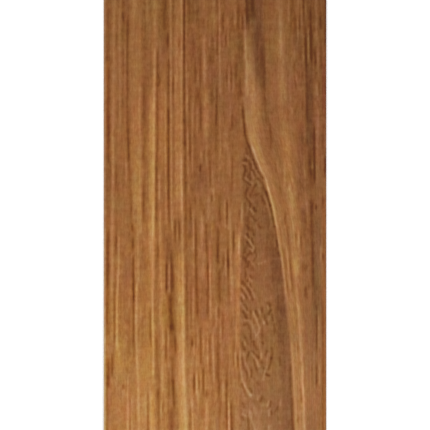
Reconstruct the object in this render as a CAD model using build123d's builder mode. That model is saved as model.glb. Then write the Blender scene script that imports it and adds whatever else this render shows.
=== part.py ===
"""Composite wall panel: one flat wood-plastic sheet with a wood-grain face.

The sheet lies flat, face up. The origin is the centre of its back, X runs across
the width, Y along the length (the way the grain runs) and Z out of the face.
"""

import os

from build123d import *

# Driving dimensions, in millimetres.
PANEL_WIDTH = 1220.0  # trade width of a full sheet, 4 ft
PANEL_LENGTH = 2440.0  # trade length of a full sheet, 8 ft
PANEL_THICKNESS = 8.0  # solid board, face to back
FACE_ARRIS_RADIUS = 0.6  # the face rolls over to the edges by this radius
BACK_ARRIS = 0.4  # the saw edge round the back is broken by this much at 45 degrees

# The sheet: the trimmed outline, carried up through the thickness of the board.
with BuildPart() as wall_panel:
    with BuildSketch(Plane.XY) as trimmed_outline:
        Rectangle(PANEL_WIDTH, PANEL_LENGTH)
    extrude(amount=PANEL_THICKNESS)

    # All four edges of the face are eased, so that they are safe to handle.
    face = wall_panel.faces().sort_by(Axis.Z)[-1]
    fillet(face.edges(), radius=FACE_ARRIS_RADIUS)

    # The back keeps its square edge, with only the splinters taken off.
    back = wall_panel.faces().sort_by(Axis.Z)[0]
    chamfer(back.edges(), length=BACK_ARRIS)

wall_panel.part.label = "wall_panel"

os.makedirs("parts", exist_ok=True)
export_step(wall_panel.part, "parts/wall_panel.step")
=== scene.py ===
"""Composite wall panel, dressed: one wood-grain sheet, its three finishes and a plain stage.

The file is laid out as an add-on. Its settings hold what a user would change, each operator makes one thing,
and main calls them in order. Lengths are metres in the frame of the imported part, where the sheet lies face up
with its length along Y.
"""

import bpy
import numpy as np
from bpy.props import FloatProperty, FloatVectorProperty, PointerProperty
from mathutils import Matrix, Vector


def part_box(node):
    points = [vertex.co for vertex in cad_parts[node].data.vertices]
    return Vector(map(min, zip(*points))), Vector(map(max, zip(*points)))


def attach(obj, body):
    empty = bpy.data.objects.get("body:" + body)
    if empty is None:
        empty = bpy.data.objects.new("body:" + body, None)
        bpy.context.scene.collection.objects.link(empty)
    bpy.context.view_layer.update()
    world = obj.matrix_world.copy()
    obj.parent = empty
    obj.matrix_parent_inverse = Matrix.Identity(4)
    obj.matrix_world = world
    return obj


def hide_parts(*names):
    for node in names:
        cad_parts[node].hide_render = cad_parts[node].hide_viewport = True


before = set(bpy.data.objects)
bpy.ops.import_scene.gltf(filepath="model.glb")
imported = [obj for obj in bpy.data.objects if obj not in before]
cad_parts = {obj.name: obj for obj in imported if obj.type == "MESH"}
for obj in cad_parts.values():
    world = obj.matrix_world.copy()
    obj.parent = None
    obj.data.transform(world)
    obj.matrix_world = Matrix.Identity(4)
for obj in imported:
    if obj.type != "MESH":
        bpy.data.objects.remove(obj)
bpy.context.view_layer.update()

bl_info = {
    "name": "Composite wall panel",
    "version": (1, 0, 0),
    "blender": (4, 5, 0),
    "location": "3D View > Sidebar > Wall panel",
    "description": "Makes a wood-grain composite wall panel and the stage that it is shown on",
    "category": "Object",
}

NODE = "wall_panel"
BODY = "root"
SHEET_LOW, SHEET_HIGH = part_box(NODE)

# The grain figure. Its places are pixels of the photograph's 430 by 430 frame, as (down, across) from the
# middle of the top left pixel. Its tones run from 0, the dark grain, to 100, the light grain.
FRAME_PIXELS = 430
SHEET_PIXELS = 222.7
MIDDLE_PIXEL = (FRAME_PIXELS - 1) / 2

# The ground tone at the head and the foot of the frame.
HEAD_TONE = 34
FOOT_TONE = 65

# The bend: below BEND_START the grain right of BEND_LINE leaves the straight and eases out to the right.
BEND_LINE = 243.0
BEND_REACH = 53.5
BEND_START = 131.0
BEND_LENGTH = 97.0
BEND_EASE = 9.0

# Each grain line is half-width, depth, and the few points that it runs through. Depth is in tones, lighter
# above 0 and darker below. A line fades out at an end that is inside the frame, over LINE_FADE or a share of
# its length. The lines stand in order from left to right.
LINE_FADE = 10
FADE_SHARE = 0.4
LINE_GAIN = 1.25
CURL_GAIN = 1.2
LEFT_LINES = (
    (1.2, 26, (0, 104), (430, 104)),
    (1.2, 16, (225, 104), (430, 104)),
    (1.4, -12, (294, 106.5), (330, 106.6)),
    (1.3, -16, (370, 106.5), (430, 106.8)),
    (1.7, -16, (0, 107.5), (340, 106.8)),
    (1.7, -24, (225, 107.5), (292, 107.4)),
    (1.6, -40, (356, 107.5), (392, 107.9)),
    (1.7, -18, (65, 107.8), (168, 107.8)),
    (1.3, -16, (108, 108.5), (144, 108.5)),
    (1.2, 7, (266, 108.8), (292, 109)),
    (1.2, -12, (160, 110.3), (198, 110.3)),
    (1.0, -6, (162, 111), (194, 111)),
    (1.7, 12, (280, 111), (345, 112)),
    (1.0, 6, (132, 111.5), (164, 112)),
    (1.2, -36, (350, 111.5), (380, 111.7)),
    (1.7, 20, (0, 114), (60, 113), (300, 111.5)),
    (1.0, -20, (286, 114), (348, 114)),
    (1.2, -10, (200, 115.6), (300, 114.6)),
    (1.1, -26, (230, 115.7), (258, 115.3)),
    (1.4, -22, (156, 115.8), (192, 115.6)),
    (1.0, -12, (30, 116), (50, 116)),
    (1.3, 34, (230, 118.7), (262, 118.3), (300, 116.5), (352, 116.3)),
    (1.0, -7, (270, 119), (296, 119)),
    (1.2, -8, (224, 119.5), (264, 119.5)),
    (1.6, 16, (0, 120), (57, 119.3), (142, 119.6)),
    (1.0, 6, (374, 122), (416, 122.3)),
    (1.3, -26, (382, 122.3), (391, 122.6)),
    (1.4, -22, (10, 122.5), (24, 123)),
    (1.4, -9, (0, 123), (130, 122.5)),
    (1.0, -12, (160, 123.4), (178, 123.5)),
    (1.0, 16, (386, 123.6), (398, 123.6)),
    (1.1, 12, (42, 124.8), (100, 125.1)),
    (1.1, 16, (156, 125.4), (186, 125.6)),
    (1.4, -20, (12, 127.2), (48, 127), (90, 126.5), (140, 127.6), (190, 129.6), (212, 130.8), (232, 132)),
    (1.2, -16, (16, 127.3), (50, 127)),
    (1.1, 20, (370, 127.3), (430, 127.5)),
    (1.2, -14, (120, 127.5), (164, 128)),
    (1.4, -12, (308, 128.6), (362, 128.8)),
    (1.0, -16, (390, 129.5), (430, 129.6)),
    (1.4, -12, (165, 130.3), (216, 131.3)),
    (1.1, 18, (388, 131.2), (430, 131.3)),
    (1.4, -34, (221, 131.8), (234, 132)),
    (1.4, -32, (234, 132.3), (253, 132.7)),
    (1.3, -44, (252, 133), (304, 133)),
    (1.2, -34, (292, 133), (350, 133)),
    (1.1, -14, (340, 133), (370, 133.4)),
    (1.0, 6, (70, 133.6), (98, 133.5)),
    (1.2, 12, (0, 134), (20, 134)),
    (1.1, 18, (250, 134.7), (280, 134.7)),
    (1.5, 24, (276, 136.2), (337, 135.7), (377, 137.2), (430, 138.6)),
    (1.0, -6, (64, 136.5), (124, 136.5)),
    (1.6, 18, (225, 137), (268, 138.3)),
    (1.6, 18, (256, 138), (288, 138)),
    (1.7, 13, (78, 139.3), (218, 139.6), (240, 140)),
    (1.0, 6, (54, 139.5), (90, 139.5)),
    (1.1, 7, (124, 140), (166, 140.4)),
    (1.6, -18, (172, 143), (226, 143.3)),
    (2.4, -14, (245, 144), (254, 144)),
    (1.0, -9, (296, 144), (322, 144)),
    (1.8, -10, (15, 144.5), (75, 144)),
    (2.6, -16, (68, 144.5), (100, 143.8), (165, 142.3)),
    (2.4, -14, (254, 146), (268, 146.4)),
    (1.2, 14, (0, 146.4), (36, 146.8)),
    (1.3, 9, (386, 146.5), (410, 148.5)),
    (1.1, -34, (388, 147.5), (430, 147.6)),
    (1.2, 6, (238, 149.5), (294, 149.5)),
    (1.0, -28, (304, 149.5), (330, 149.8), (352, 150.8)),
    (1.2, 11, (236, 149.8), (262, 150)),
    (1.3, 14, (296, 152), (386, 152.9)),
    (1.2, -8, (338, 152), (366, 152)),
    (1.4, 18, (245, 152.6), (300, 152.4), (350, 152.8), (380, 153)),
    (1.4, 16, (100, 153.4), (180, 153.1), (257, 152.7)),
    (2.0, 13, (0, 153.8), (62, 153.9)),
    (1.1, -12, (272, 153.8), (322, 153.6)),
    (1.4, 26, (44, 154), (112, 153.5)),
    (1.4, -7, (216, 154.5), (242, 154.8)),
    (1.8, -18, (330, 156), (375, 156.8), (400, 158), (430, 158.4)),
    (1.4, -24, (44, 156.8), (135, 157), (170, 156), (218, 155.8), (230, 156.4)),
    (1.4, -30, (71, 157.3), (80, 159.3), (88, 157.8)),
    (1.2, -22, (238, 157.5), (266, 157.5)),
    (1.2, -20, (385, 157.5), (403, 157.6)),
    (1.2, 24, (168, 158.5), (204, 158.8)),
    (1.1, -14, (369, 158.7), (383, 158.7)),
    (1.6, 22, (205, 159.3), (258, 160)),
    (1.2, 16, (34, 159.6), (62, 159.6)),
    (1.2, 11, (296, 159.6), (334, 159.6)),
    (1.8, 12, (248, 160), (314, 161)),
    (1.0, 24, (397, 160.6), (419, 160.4)),
    (2.0, 8, (75, 161.5), (168, 161)),
    (1.6, 20, (348, 161.7), (398, 161.5)),
    (1.1, -8, (298, 162), (336, 162.2)),
    (1.6, 20, (312, 162), (352, 162)),
    (1.0, -22, (399, 162.4), (415, 162.3)),
    (1.2, -10, (202, 164), (226, 164.5)),
    (3.0, -20, (0, 164.3), (34, 165.2)),
    (1.2, 10, (256, 164.3), (304, 163.8)),
    (1.2, 20, (85, 165), (137, 164.6), (228, 165.4)),
    (1.2, -34, (325, 165.5), (365, 165.5)),
    (1.2, -14, (126, 166), (144, 166)),
    (1.3, -46, (256, 166), (297, 166)),
    (1.0, -6, (140, 166.6), (200, 166.8)),
    (1.2, -20, (234, 166.6), (264, 166.3)),
    (1.6, -36, (28, 167.2), (51, 167.2)),
    (1.2, 20, (322, 167.8), (352, 167.8)),
    (1.2, -26, (54, 168), (108, 168)),
    (1.3, -46, (102, 168), (206, 168.2)),
    (1.2, -26, (196, 168.3), (232, 168.6)),
    (1.1, -24, (365, 168.5), (403, 168.5)),
    (1.0, 7, (120, 168.8), (212, 169.6)),
    (1.0, 24, (256, 168.8), (296, 168.8)),
    (2.7, -42, (290, 170), (336, 171.2)),
    (1.3, 24, (0, 170.3), (177, 170.6), (236, 171.6)),
    (1.4, -10, (214, 171), (236, 170.5)),
    (1.6, -40, (246, 171), (297, 171.8)),
    (2.4, -18, (318, 171), (354, 171.6)),
    (2.8, -24, (402, 171), (430, 171)),
    (1.2, 10, (244, 171.5), (268, 171.5)),
    (1.7, -22, (350, 171.8), (392, 172)),
    (1.2, -8, (0, 172.5), (198, 173)),
    (1.1, -20, (70, 172.6), (100, 172.6)),
    (1.4, -36, (374, 172.6), (400, 173.4), (413, 174.6)),
    (1.8, -14, (316, 172.8), (336, 172.8)),
    (1.4, -12, (264, 173.8), (293, 174)),
    (1.4, -38, (331, 174.5), (358, 175.4)),
    (1.1, -32, (215, 174.6), (244, 174.8)),
    (1.8, 10, (18, 176), (97, 175.4), (208, 177)),
    (1.4, 14, (372, 176), (397, 177)),
    (1.0, 18, (222, 176.6), (244, 176.7)),
    (1.2, -24, (38, 178.5), (49, 178.5)),
    (1.1, -32, (216, 178.8), (244, 179)),
    (1.1, -6, (10, 179), (44, 179)),
    (1.0, -10, (312, 180), (340, 180.3)),
    (1.4, 16, (150, 180.8), (216, 181.2)),
    (1.4, 26, (0, 181.2), (137, 181), (255, 182)),
    (2.2, 12, (350, 181.5), (392, 182.5)),
    (1.5, 18, (248, 182.2), (337, 183), (385, 183.4), (430, 185.4)),
    (1.3, -10, (156, 182.5), (194, 182.8)),
    (1.3, -36, (0, 183.6), (110, 183.8), (150, 184.3)),
)
MIDDLE_LINES = (
    (1.8, -22, (136, 184.4), (217, 185.4), (345, 186.4)),
    (1.0, 12, (0, 185.4), (78, 185.6)),
    (1.8, 9, (298, 185.5), (346, 185)),
    (1.1, 16, (66, 186), (155, 186.8)),
    (1.3, -12, (110, 186), (154, 186.5)),
    (1.1, 11, (82, 186.4), (116, 186.6)),
    (1.4, 7, (384, 186.5), (430, 186.8)),
    (1.1, 16, (125, 187), (182, 187.2)),
    (1.0, -7, (14, 188), (46, 188)),
    (1.6, 14, (180, 188), (195, 188)),
    (1.4, -14, (0, 188.3), (28, 188.8)),
    (1.4, -18, (75, 188.8), (165, 189.5)),
    (1.4, -16, (228, 189), (241, 189)),
    (1.0, -12, (132, 189.4), (172, 189.6)),
    (1.3, -26, (199, 189.6), (225, 190.2)),
    (1.8, 10, (355, 190), (430, 192)),
    (1.4, -28, (401, 190), (430, 190.3)),
    (1.1, -18, (280, 190.4), (330, 190.6)),
    (1.0, 14, (394, 191.4), (430, 192.4)),
    (1.3, -50, (336, 191.5), (348, 191.8)),
    (1.1, 13, (138, 191.8), (180, 192)),
    (1.6, 14, (21, 192), (29, 192)),
    (1.0, 14, (94, 192), (142, 191.8)),
    (1.1, 20, (205, 192.4), (255, 193.4)),
    (1.2, 18, (281, 192.8), (324, 193)),
    (1.3, -12, (35, 193), (51, 193)),
    (1.2, -10, (240, 193), (268, 193)),
    (1.2, 12, (238, 193.3), (286, 193)),
    (1.1, -42, (368, 193.5), (396, 193.8)),
    (1.0, 16, (342, 194), (358, 194)),
    (1.5, -8, (100, 194.3), (170, 194.5)),
    (1.3, -20, (57, 194.5), (85, 194.8)),
    (1.1, -14, (190, 194.8), (208, 194.8)),
    (1.4, -30, (212, 195), (267, 195.4)),
    (1.0, -16, (330, 195.4), (350, 195.5)),
    (1.6, -34, (260, 195.6), (322, 197)),
    (1.2, 30, (367, 195.9), (400, 196.2)),
    (2.6, -10, (2, 196), (28, 196)),
    (1.2, 18, (103, 196.6), (139, 196.9)),
    (1.1, 16, (324, 197), (351, 197.2)),
    (1.2, 14, (189, 197.6), (215, 197.8)),
    (1.1, 14, (386, 197.6), (416, 197.6)),
    (1.2, 18, (65, 197.7), (89, 197.5)),
    (2.0, -14, (84, 198), (104, 197.4)),
    (0.9, -22, (370, 198.6), (394, 198.7)),
    (1.0, 8, (42, 199), (78, 199.2)),
    (2.0, 12, (242, 199), (264, 199.2)),
    (1.4, -22, (44, 199.8), (91, 199.6)),
    (1.3, -22, (95, 200), (135, 200)),
    (1.3, -32, (163, 200), (173, 199.3)),
    (1.2, -36, (323, 200), (350, 200.4), (368, 200.8)),
    (1.6, -13, (194, 200.4), (207, 200.4)),
    (1.2, 16, (145, 200.6), (164, 200.8)),
    (0.9, 18, (368, 200.6), (392, 200.7)),
    (2.2, 20, (208, 201.4), (255, 201)),
    (1.6, -13, (204, 202), (222, 202.5)),
    (2.8, 12, (245, 202), (283, 202)),
    (1.8, -14, (403, 202.5), (422, 202.5)),
    (1.2, -40, (363, 202.6), (398, 202.9)),
    (1.2, 16, (332, 203), (357, 203.2)),
    (1.0, -18, (148, 203.3), (164, 203.4)),
    (1.6, 26, (29, 203.4), (89, 204)),
    (2.0, 14, (0, 203.5), (20, 203.5)),
    (1.4, -12, (204, 203.8), (222, 203.8)),
    (1.6, 11, (319, 204), (332, 204)),
    (3.0, 9, (84, 205), (132, 206)),
    (1.6, 12, (112, 205), (146, 205.4)),
    (1.2, 16, (370, 205), (394, 205)),
    (1.2, -22, (220, 205.6), (246, 205.8), (263, 207)),
    (1.2, 18, (137, 205.8), (171, 206.2)),
    (1.5, 22, (394, 206), (430, 206)),
    (1.4, -22, (387, 206.5), (400, 206.6)),
    (1.0, 16, (334, 207), (355, 207)),
    (1.0, 14, (350, 207), (369, 207)),
    (1.5, -24, (283, 207.2), (320, 207.4)),
    (1.3, -36, (257, 207.3), (293, 207.5)),
    (1.6, -14, (146, 208.3), (161, 208.6)),
    (2.2, 12, (192, 208.5), (222, 208.5)),
    (0.8, 14, (36, 209), (50, 209)),
    (1.1, 26, (260, 209), (290, 209.8), (322, 210.2)),
    (1.1, -24, (332, 209), (355, 209.3)),
    (2.0, 10, (185, 209.2), (200, 209)),
    (1.3, -24, (155, 209.5), (189, 209.6)),
    (1.3, 16, (239, 209.6), (275, 209.8)),
    (1.0, -8, (242, 209.8), (274, 209.8)),
    (1.2, -18, (350, 209.8), (381, 209.8)),
    (2.2, -20, (51, 210), (66, 210)),
    (1.0, -34, (192, 211), (204, 211.2)),
    (1.6, -16, (81, 211.3), (109, 211.5)),
    (1.4, -12, (36, 211.6), (58, 211.6)),
    (1.1, 12, (162, 212), (192, 212.4)),
    (1.3, 18, (186, 212), (196, 212)),
    (1.2, 26, (329, 212.4), (360, 212.8), (385, 213.2)),
    (1.4, 8, (322, 212.5), (340, 213.5)),
    (1.2, 8, (24, 213), (42, 213)),
    (1.6, 16, (0, 213.2), (32, 214.2)),
    (1.3, -18, (314, 213.4), (328, 213.6)),
    (1.0, 16, (186, 213.6), (205, 213.6)),
    (1.2, 14, (411, 214), (430, 214)),
    (1.0, 16, (102, 214.2), (123, 214)),
    (1.0, 18, (32, 214.5), (52, 214.5)),
    (2.4, -12, (125, 215.5), (136, 215.5)),
    (1.6, -8, (182, 215.5), (220, 217)),
    (1.3, -10, (130, 215.6), (190, 216.5)),
    (1.1, 16, (298, 215.9), (331, 216)),
    (1.1, -12, (363, 215.9), (384, 216)),
    (1.4, -34, (97, 216), (131, 215.5)),
    (1.2, -20, (35, 216.5), (59, 216.8)),
    (1.3, -20, (81, 216.6), (104, 216.6)),
    (1.4, -16, (0, 216.8), (13, 216.8)),
    (1.4, -18, (24, 217), (41, 217)),
    (1.4, -16, (239, 217), (265, 217)),
    (1.6, -28, (342, 217.4), (385, 217.6)),
    (1.2, 18, (219, 217.6), (231, 218.4)),
    (1.2, -18, (317, 217.6), (351, 217.6)),
    (1.5, -28, (221, 217.8), (269, 217.3)),
    (1.3, -28, (303, 218.2), (321, 218.2)),
    (2.4, -28, (264, 218.5), (307, 218.6)),
    (1.1, -26, (375, 218.5), (403, 218.6)),
    (1.2, -12, (399, 218.6), (419, 219)),
    (1.1, 22, (0, 219), (60, 219.3), (100, 219.7)),
    (1.1, -14, (376, 219.2), (398, 219.2)),
    (1.5, -14, (410, 219.3), (430, 219.5)),
    (1.2, 16, (161, 219.5), (170, 219.5)),
    (1.4, -12, (214, 219.5), (230, 219.8)),
    (1.8, -18, (189, 219.6), (227, 219.3)),
    (1.2, -14, (394, 219.6), (418, 219.8)),
    (1.0, 14, (108, 219.8), (164, 219.5)),
    (1.0, 18, (312, 220), (348, 220)),
    (1.1, 14, (340, 220.5), (367, 220.8)),
    (1.2, -10, (122, 222), (156, 222)),
    (1.0, -16, (256, 222.2), (276, 222.4)),
    (1.2, -14, (306, 222.2), (346, 222.3)),
    (1.3, -18, (6, 222.3), (36, 222.4)),
    (1.3, 18, (374, 222.4), (405, 222.8)),
    (1.1, -20, (251, 223.4), (269, 223.4)),
    (1.0, 16, (198, 223.8), (213, 224)),
    (1.3, 12, (205, 224), (234, 224.2)),
    (1.6, 12, (124, 225), (156, 225.4)),
    (1.0, 18, (246, 225), (279, 225.4)),
    (1.0, -9, (342, 225), (360, 225)),
    (1.3, -16, (27, 225.4), (49, 225.6)),
    (1.1, -14, (66, 226), (86, 226.4)),
    (1.2, -18, (360, 226), (390, 226.2)),
    (1.2, -34, (376, 226), (422, 226)),
    (1.2, -28, (412, 226.2), (430, 226.3)),
    (1.0, -36, (195, 226.6), (229, 226.6)),
    (2.2, 8, (12, 226.8), (36, 227)),
    (1.2, -14, (225, 226.8), (262, 227.5), (300, 228.5)),
    (1.3, -22, (240, 227.2), (282, 228)),
    (1.3, -22, (253, 227.3), (270, 227.5)),
    (1.0, 12, (30, 227.6), (50, 227.8)),
    (1.2, 12, (195, 228.2), (233, 228.4)),
    (1.1, 38, (395, 228.2), (430, 228.5)),
    (1.1, 20, (60, 228.3), (96, 228.5)),
    (1.2, -14, (282, 228.6), (306, 228.6)),
    (1.6, 6, (138, 229), (176, 226.5)),
    (1.2, -10, (206, 229.3), (230, 229.3)),
    (1.4, 18, (206, 229.4), (260, 230.4), (310, 231.6)),
    (1.3, 14, (91, 229.5), (125, 229.5)),
    (1.2, 13, (154, 229.7), (184, 229.5)),
    (1.0, -14, (190, 230.8), (208, 230.8)),
    (1.2, -34, (398, 230.8), (430, 231.2)),
    (1.0, -20, (63, 231), (91, 231)),
    (1.0, -12, (314, 231), (335, 231.3)),
    (1.2, -24, (107, 231.5), (132, 231.6)),
    (1.2, -20, (151, 231.8), (197, 231)),
    (1.2, -14, (8, 232), (34, 232)),
    (1.0, -14, (138, 232.2), (152, 232.2)),
    (1.2, 9, (262, 232.5), (292, 233)),
    (1.0, 16, (61, 232.6), (95, 232.7)),
    (1.0, -18, (346, 233), (370, 233)),
    (1.1, -30, (225, 233.2), (255, 233.4)),
    (1.0, -12, (339, 233.4), (355, 233.5)),
    (1.1, 16, (0, 234.6), (32, 234.6)),
    (1.1, 12, (319, 234.6), (346, 236)),
    (1.0, 24, (346, 234.6), (372, 235)),
    (2.0, 8, (392, 235), (430, 236)),
    (1.3, -20, (59, 235.2), (83, 235.4)),
    (1.2, -14, (77, 236), (99, 236)),
    (1.2, -7, (246, 236), (268, 236)),
    (1.1, -36, (348, 237.2), (372, 237.6)),
    (1.3, -16, (2, 237.6), (33, 237.6)),
    (1.3, -9, (284, 237.8), (302, 238)),
    (1.4, -10, (313, 238), (344, 238)),
    (1.2, 16, (235, 238.2), (263, 238.2)),
    (1.2, -12, (367, 238.3), (384, 238.6)),
    (3.0, -8, (0, 239), (100, 238.5)),
    (1.0, -18, (206, 239), (222, 239)),
    (1.3, -16, (73, 239.6), (101, 240)),
    (0.9, 16, (10, 239.9), (30, 240)),
    (1.4, 14, (222, 240), (234, 239.2), (258, 238.8)),
    (1.0, 12, (112, 240.4), (136, 241.6)),
    (1.2, 32, (199, 241.4), (228, 241.4)),
    (1.0, 10, (219, 241.8), (232, 241.8)),
    (1.0, -22, (10, 242), (32, 242)),
    (1.2, 9, (86, 242.5), (114, 244)),
    (1.2, 30, (9, 244.3), (66, 244.9)),
)
RIGHT_LINES = (
    (1.6, -30, (0, 246), (26, 246.6)),
    (1.3, 18, (55, 246), (99, 246.6)),
    (2.6, 8, (44, 249), (84, 250)),
    (3.2, -30, (0, 251.8), (22, 252)),
    (2.0, -18, (44, 261.5), (90, 263.6)),
    (2.2, -16, (78, 262.3), (128, 267)),
    (1.3, -16, (117, 268.6), (134, 270), (154, 271)),
    (1.0, -14, (156, 274.2), (179, 276.6)),
    (1.0, 10, (156, 276.8), (170, 277.4)),
    (1.4, -16, (180, 278.8), (198, 280)),
    (2.8, 16, (0, 279.3), (57, 280.8), (84, 281.6)),
    (1.3, 10, (12, 279.5), (62, 280.6)),
    (1.2, -22, (244, 282.4), (264, 285), (276, 286), (294, 287.5)),
    (1.2, 13, (157, 283.6), (191, 284)),
    (1.0, -26, (209, 284.4), (228, 284.8)),
    (1.2, 16, (240, 285), (252, 286.7), (270, 288.2), (294, 290.6)),
    (1.1, -24, (222, 286), (240, 287.7), (252, 289.3), (264, 290.1), (296, 292.8)),
    (1.0, -14, (104, 286.9), (126, 288.4)),
    (1.0, 18, (0, 288.2), (28, 288.2)),
    (1.4, 12, (178, 289), (218, 291)),
    (1.2, 16, (182, 289), (193, 289.2)),
    (2.4, 8, (52, 290), (106, 290.6)),
    (1.0, 14, (105, 290.5), (115, 292.8)),
    (1.0, 14, (171, 291), (187, 292.8)),
    (1.0, 14, (185, 291), (217, 293)),
    (1.8, 10, (206, 291), (232, 293), (256, 293.8), (277, 295)),
    (2.6, -14, (0, 291.8), (34, 292.4)),
    (1.0, -20, (72, 293), (94, 296.6)),
    (2.0, -9, (26, 293.6), (42, 293.8)),
    (1.0, 12, (44, 293.8), (63, 294)),
    (1.0, -18, (58, 294), (74, 294)),
    (1.2, -22, (11, 294.4), (31, 294.8)),
    (0.8, 12, (72, 294.8), (85, 297.4)),
    (0.9, -20, (229, 295.4), (243, 295.6)),
    (1.3, 12, (268, 295.8), (290, 296.4), (314, 297.6)),
    (1.4, -14, (102, 296.4), (118, 293)),
    (1.0, 12, (163, 296.8), (183, 297.4)),
    (1.3, -24, (410, 297), (425, 297.2)),
    (1.0, -22, (337, 297.4), (355, 298)),
    (1.0, 12, (15, 297.5), (49, 297.5)),
    (1.0, 14, (0, 297.6), (12, 297.6)),
    (1.8, 20, (298, 297.8), (325, 299.2), (350, 299.8)),
    (1.0, -14, (69, 298), (81, 299.2)),
    (1.0, 22, (225, 298.4), (248, 298.6)),
    (1.0, -16, (13, 298.8), (34, 298.6)),
    (1.0, -14, (7, 299), (33, 299.3)),
    (1.0, -14, (44, 300), (62, 300)),
    (1.0, -24, (382, 300.3), (408, 301)),
    (1.3, 24, (340, 300.4), (368, 301.4)),
    (1.2, -18, (226, 300.6), (255, 300.8)),
    (1.0, 12, (0, 301), (34, 301)),
    (1.0, 10, (7, 301.3), (45, 301.5)),
    (1.0, -12, (72, 301.6), (82, 301.6)),
    (1.0, -14, (100, 301.6), (111, 302)),
    (1.4, 30, (358, 301.6), (396, 302.4)),
    (1.2, -10, (8, 302), (30, 302)),
    (1.0, -14, (0, 302.6), (18, 302.8)),
    (1.0, 14, (44, 302.6), (72, 302.6)),
    (1.2, -20, (259, 302.6), (275, 302.8)),
    (1.0, 14, (155, 302.8), (180, 304.8)),
    (1.3, 28, (384, 302.8), (430, 303.8)),
    (1.4, -18, (0, 303.4), (37, 304.5)),
    (2.2, -10, (204, 304), (243, 304.5)),
    (1.0, 14, (0, 304.8), (20, 305)),
    (1.0, 12, (8, 304.8), (28, 305)),
    (1.3, -46, (30, 305), (71, 305.6)),
    (1.4, 13, (189, 305), (212, 306)),
    (1.6, -26, (282, 305), (300, 305.2)),
    (1.4, -14, (62, 305.4), (122, 307)),
    (1.4, -14, (134, 305.6), (150, 305.8)),
    (1.2, -20, (259, 305.6), (275, 305.6)),
    (1.5, 10, (189, 307), (219, 307)),
    (1.0, 24, (25, 308), (65, 308.2)),
    (1.0, -16, (277, 308.3), (293, 308.3)),
    (1.5, -26, (3, 309.3), (31, 310)),
    (2.6, -28, (146, 309.3), (180, 310)),
    (1.5, -52, (22, 310.3), (65, 310.8)),
    (2.4, -26, (166, 310.8), (190, 311)),
    (1.4, -26, (202, 310.8), (243, 311)),
    (2.4, -24, (196, 311), (211, 311.2)),
    (1.6, -22, (237, 311.8), (291, 312.4)),
    (1.0, 24, (161, 312), (169, 312)),
    (1.4, -14, (196, 312), (290, 312.5)),
    (1.1, -46, (121, 313.6), (186, 314.2)),
    (1.3, -28, (44, 314.2), (58, 314.6), (70, 315.4)),
    (2.6, -12, (278, 314.3), (352, 315.3)),
    (2.0, 12, (78, 315.2), (102, 316)),
    (1.2, -28, (203, 315.4), (211, 315.8)),
    (1.4, 22, (0, 315.5), (48, 315.7)),
    (1.2, -30, (303, 315.8), (311, 316.2)),
    (1.2, -18, (282, 316), (291, 316)),
    (1.0, -28, (307, 316), (356, 316.2)),
    (1.1, -30, (358, 316), (389, 316.2)),
    (1.2, 14, (79, 316.2), (100, 316.4)),
    (1.6, 14, (95, 317), (187, 317)),
    (1.0, -20, (98, 317), (110, 317.6)),
    (1.1, 16, (45, 317.5), (81, 318)),
    (1.0, 22, (312, 318.4), (350, 318.7)),
    (1.0, -14, (77, 318.8), (100, 318.8)),
    (1.0, 22, (357, 319), (390, 319.2)),
    (1.2, -32, (11, 319.8), (31, 320.2)),
    (1.0, 26, (240, 320), (266, 320.2)),
    (1.2, -14, (30, 320.5), (76, 320)),
    (1.4, -20, (130, 322.2), (154, 322.2)),
    (1.4, -16, (191, 322.2), (208, 322.2)),
    (1.2, -22, (251, 322.3), (262, 322.3)),
    (1.1, -22, (296, 322.4), (430, 322.5)),
    (1.4, -42, (150, 324.6), (180, 324.8)),
    (1.3, -26, (0, 325), (50, 325.2)),
)

# Lines that are carried along by the bend. Their courses are written as if the grain ran straight.
CARRIED_LINES = (
    (1.2, 14, (106, 244.6), (130, 244.6), (160, 243)),
    (1.4, 32, (138, 243), (150, 242.7), (160, 242.5), (170, 243), (177, 244.6), (184, 244), (196, 243)),
    (1.3, 42, (180, 244.2), (190, 243.8), (205, 243.5), (234, 242.6)),
    (1.3, 31, (226, 242.6), (246, 242.2), (282, 242), (306, 241.9)),
    (1.3, 8, (296, 242), (352, 243)),
    (1.4, 18, (338, 243.2), (380, 243.9), (430, 245)),
    (1.3, -36, (104, 241.6), (115, 242.2), (124, 241.8), (134, 240.4), (152, 239.4)),
    (1.3, -12, (84, 240.8), (116, 241.8)),
    (3.6, 8, (178, 247.8), (257, 246.4), (330, 246)),
)

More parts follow.
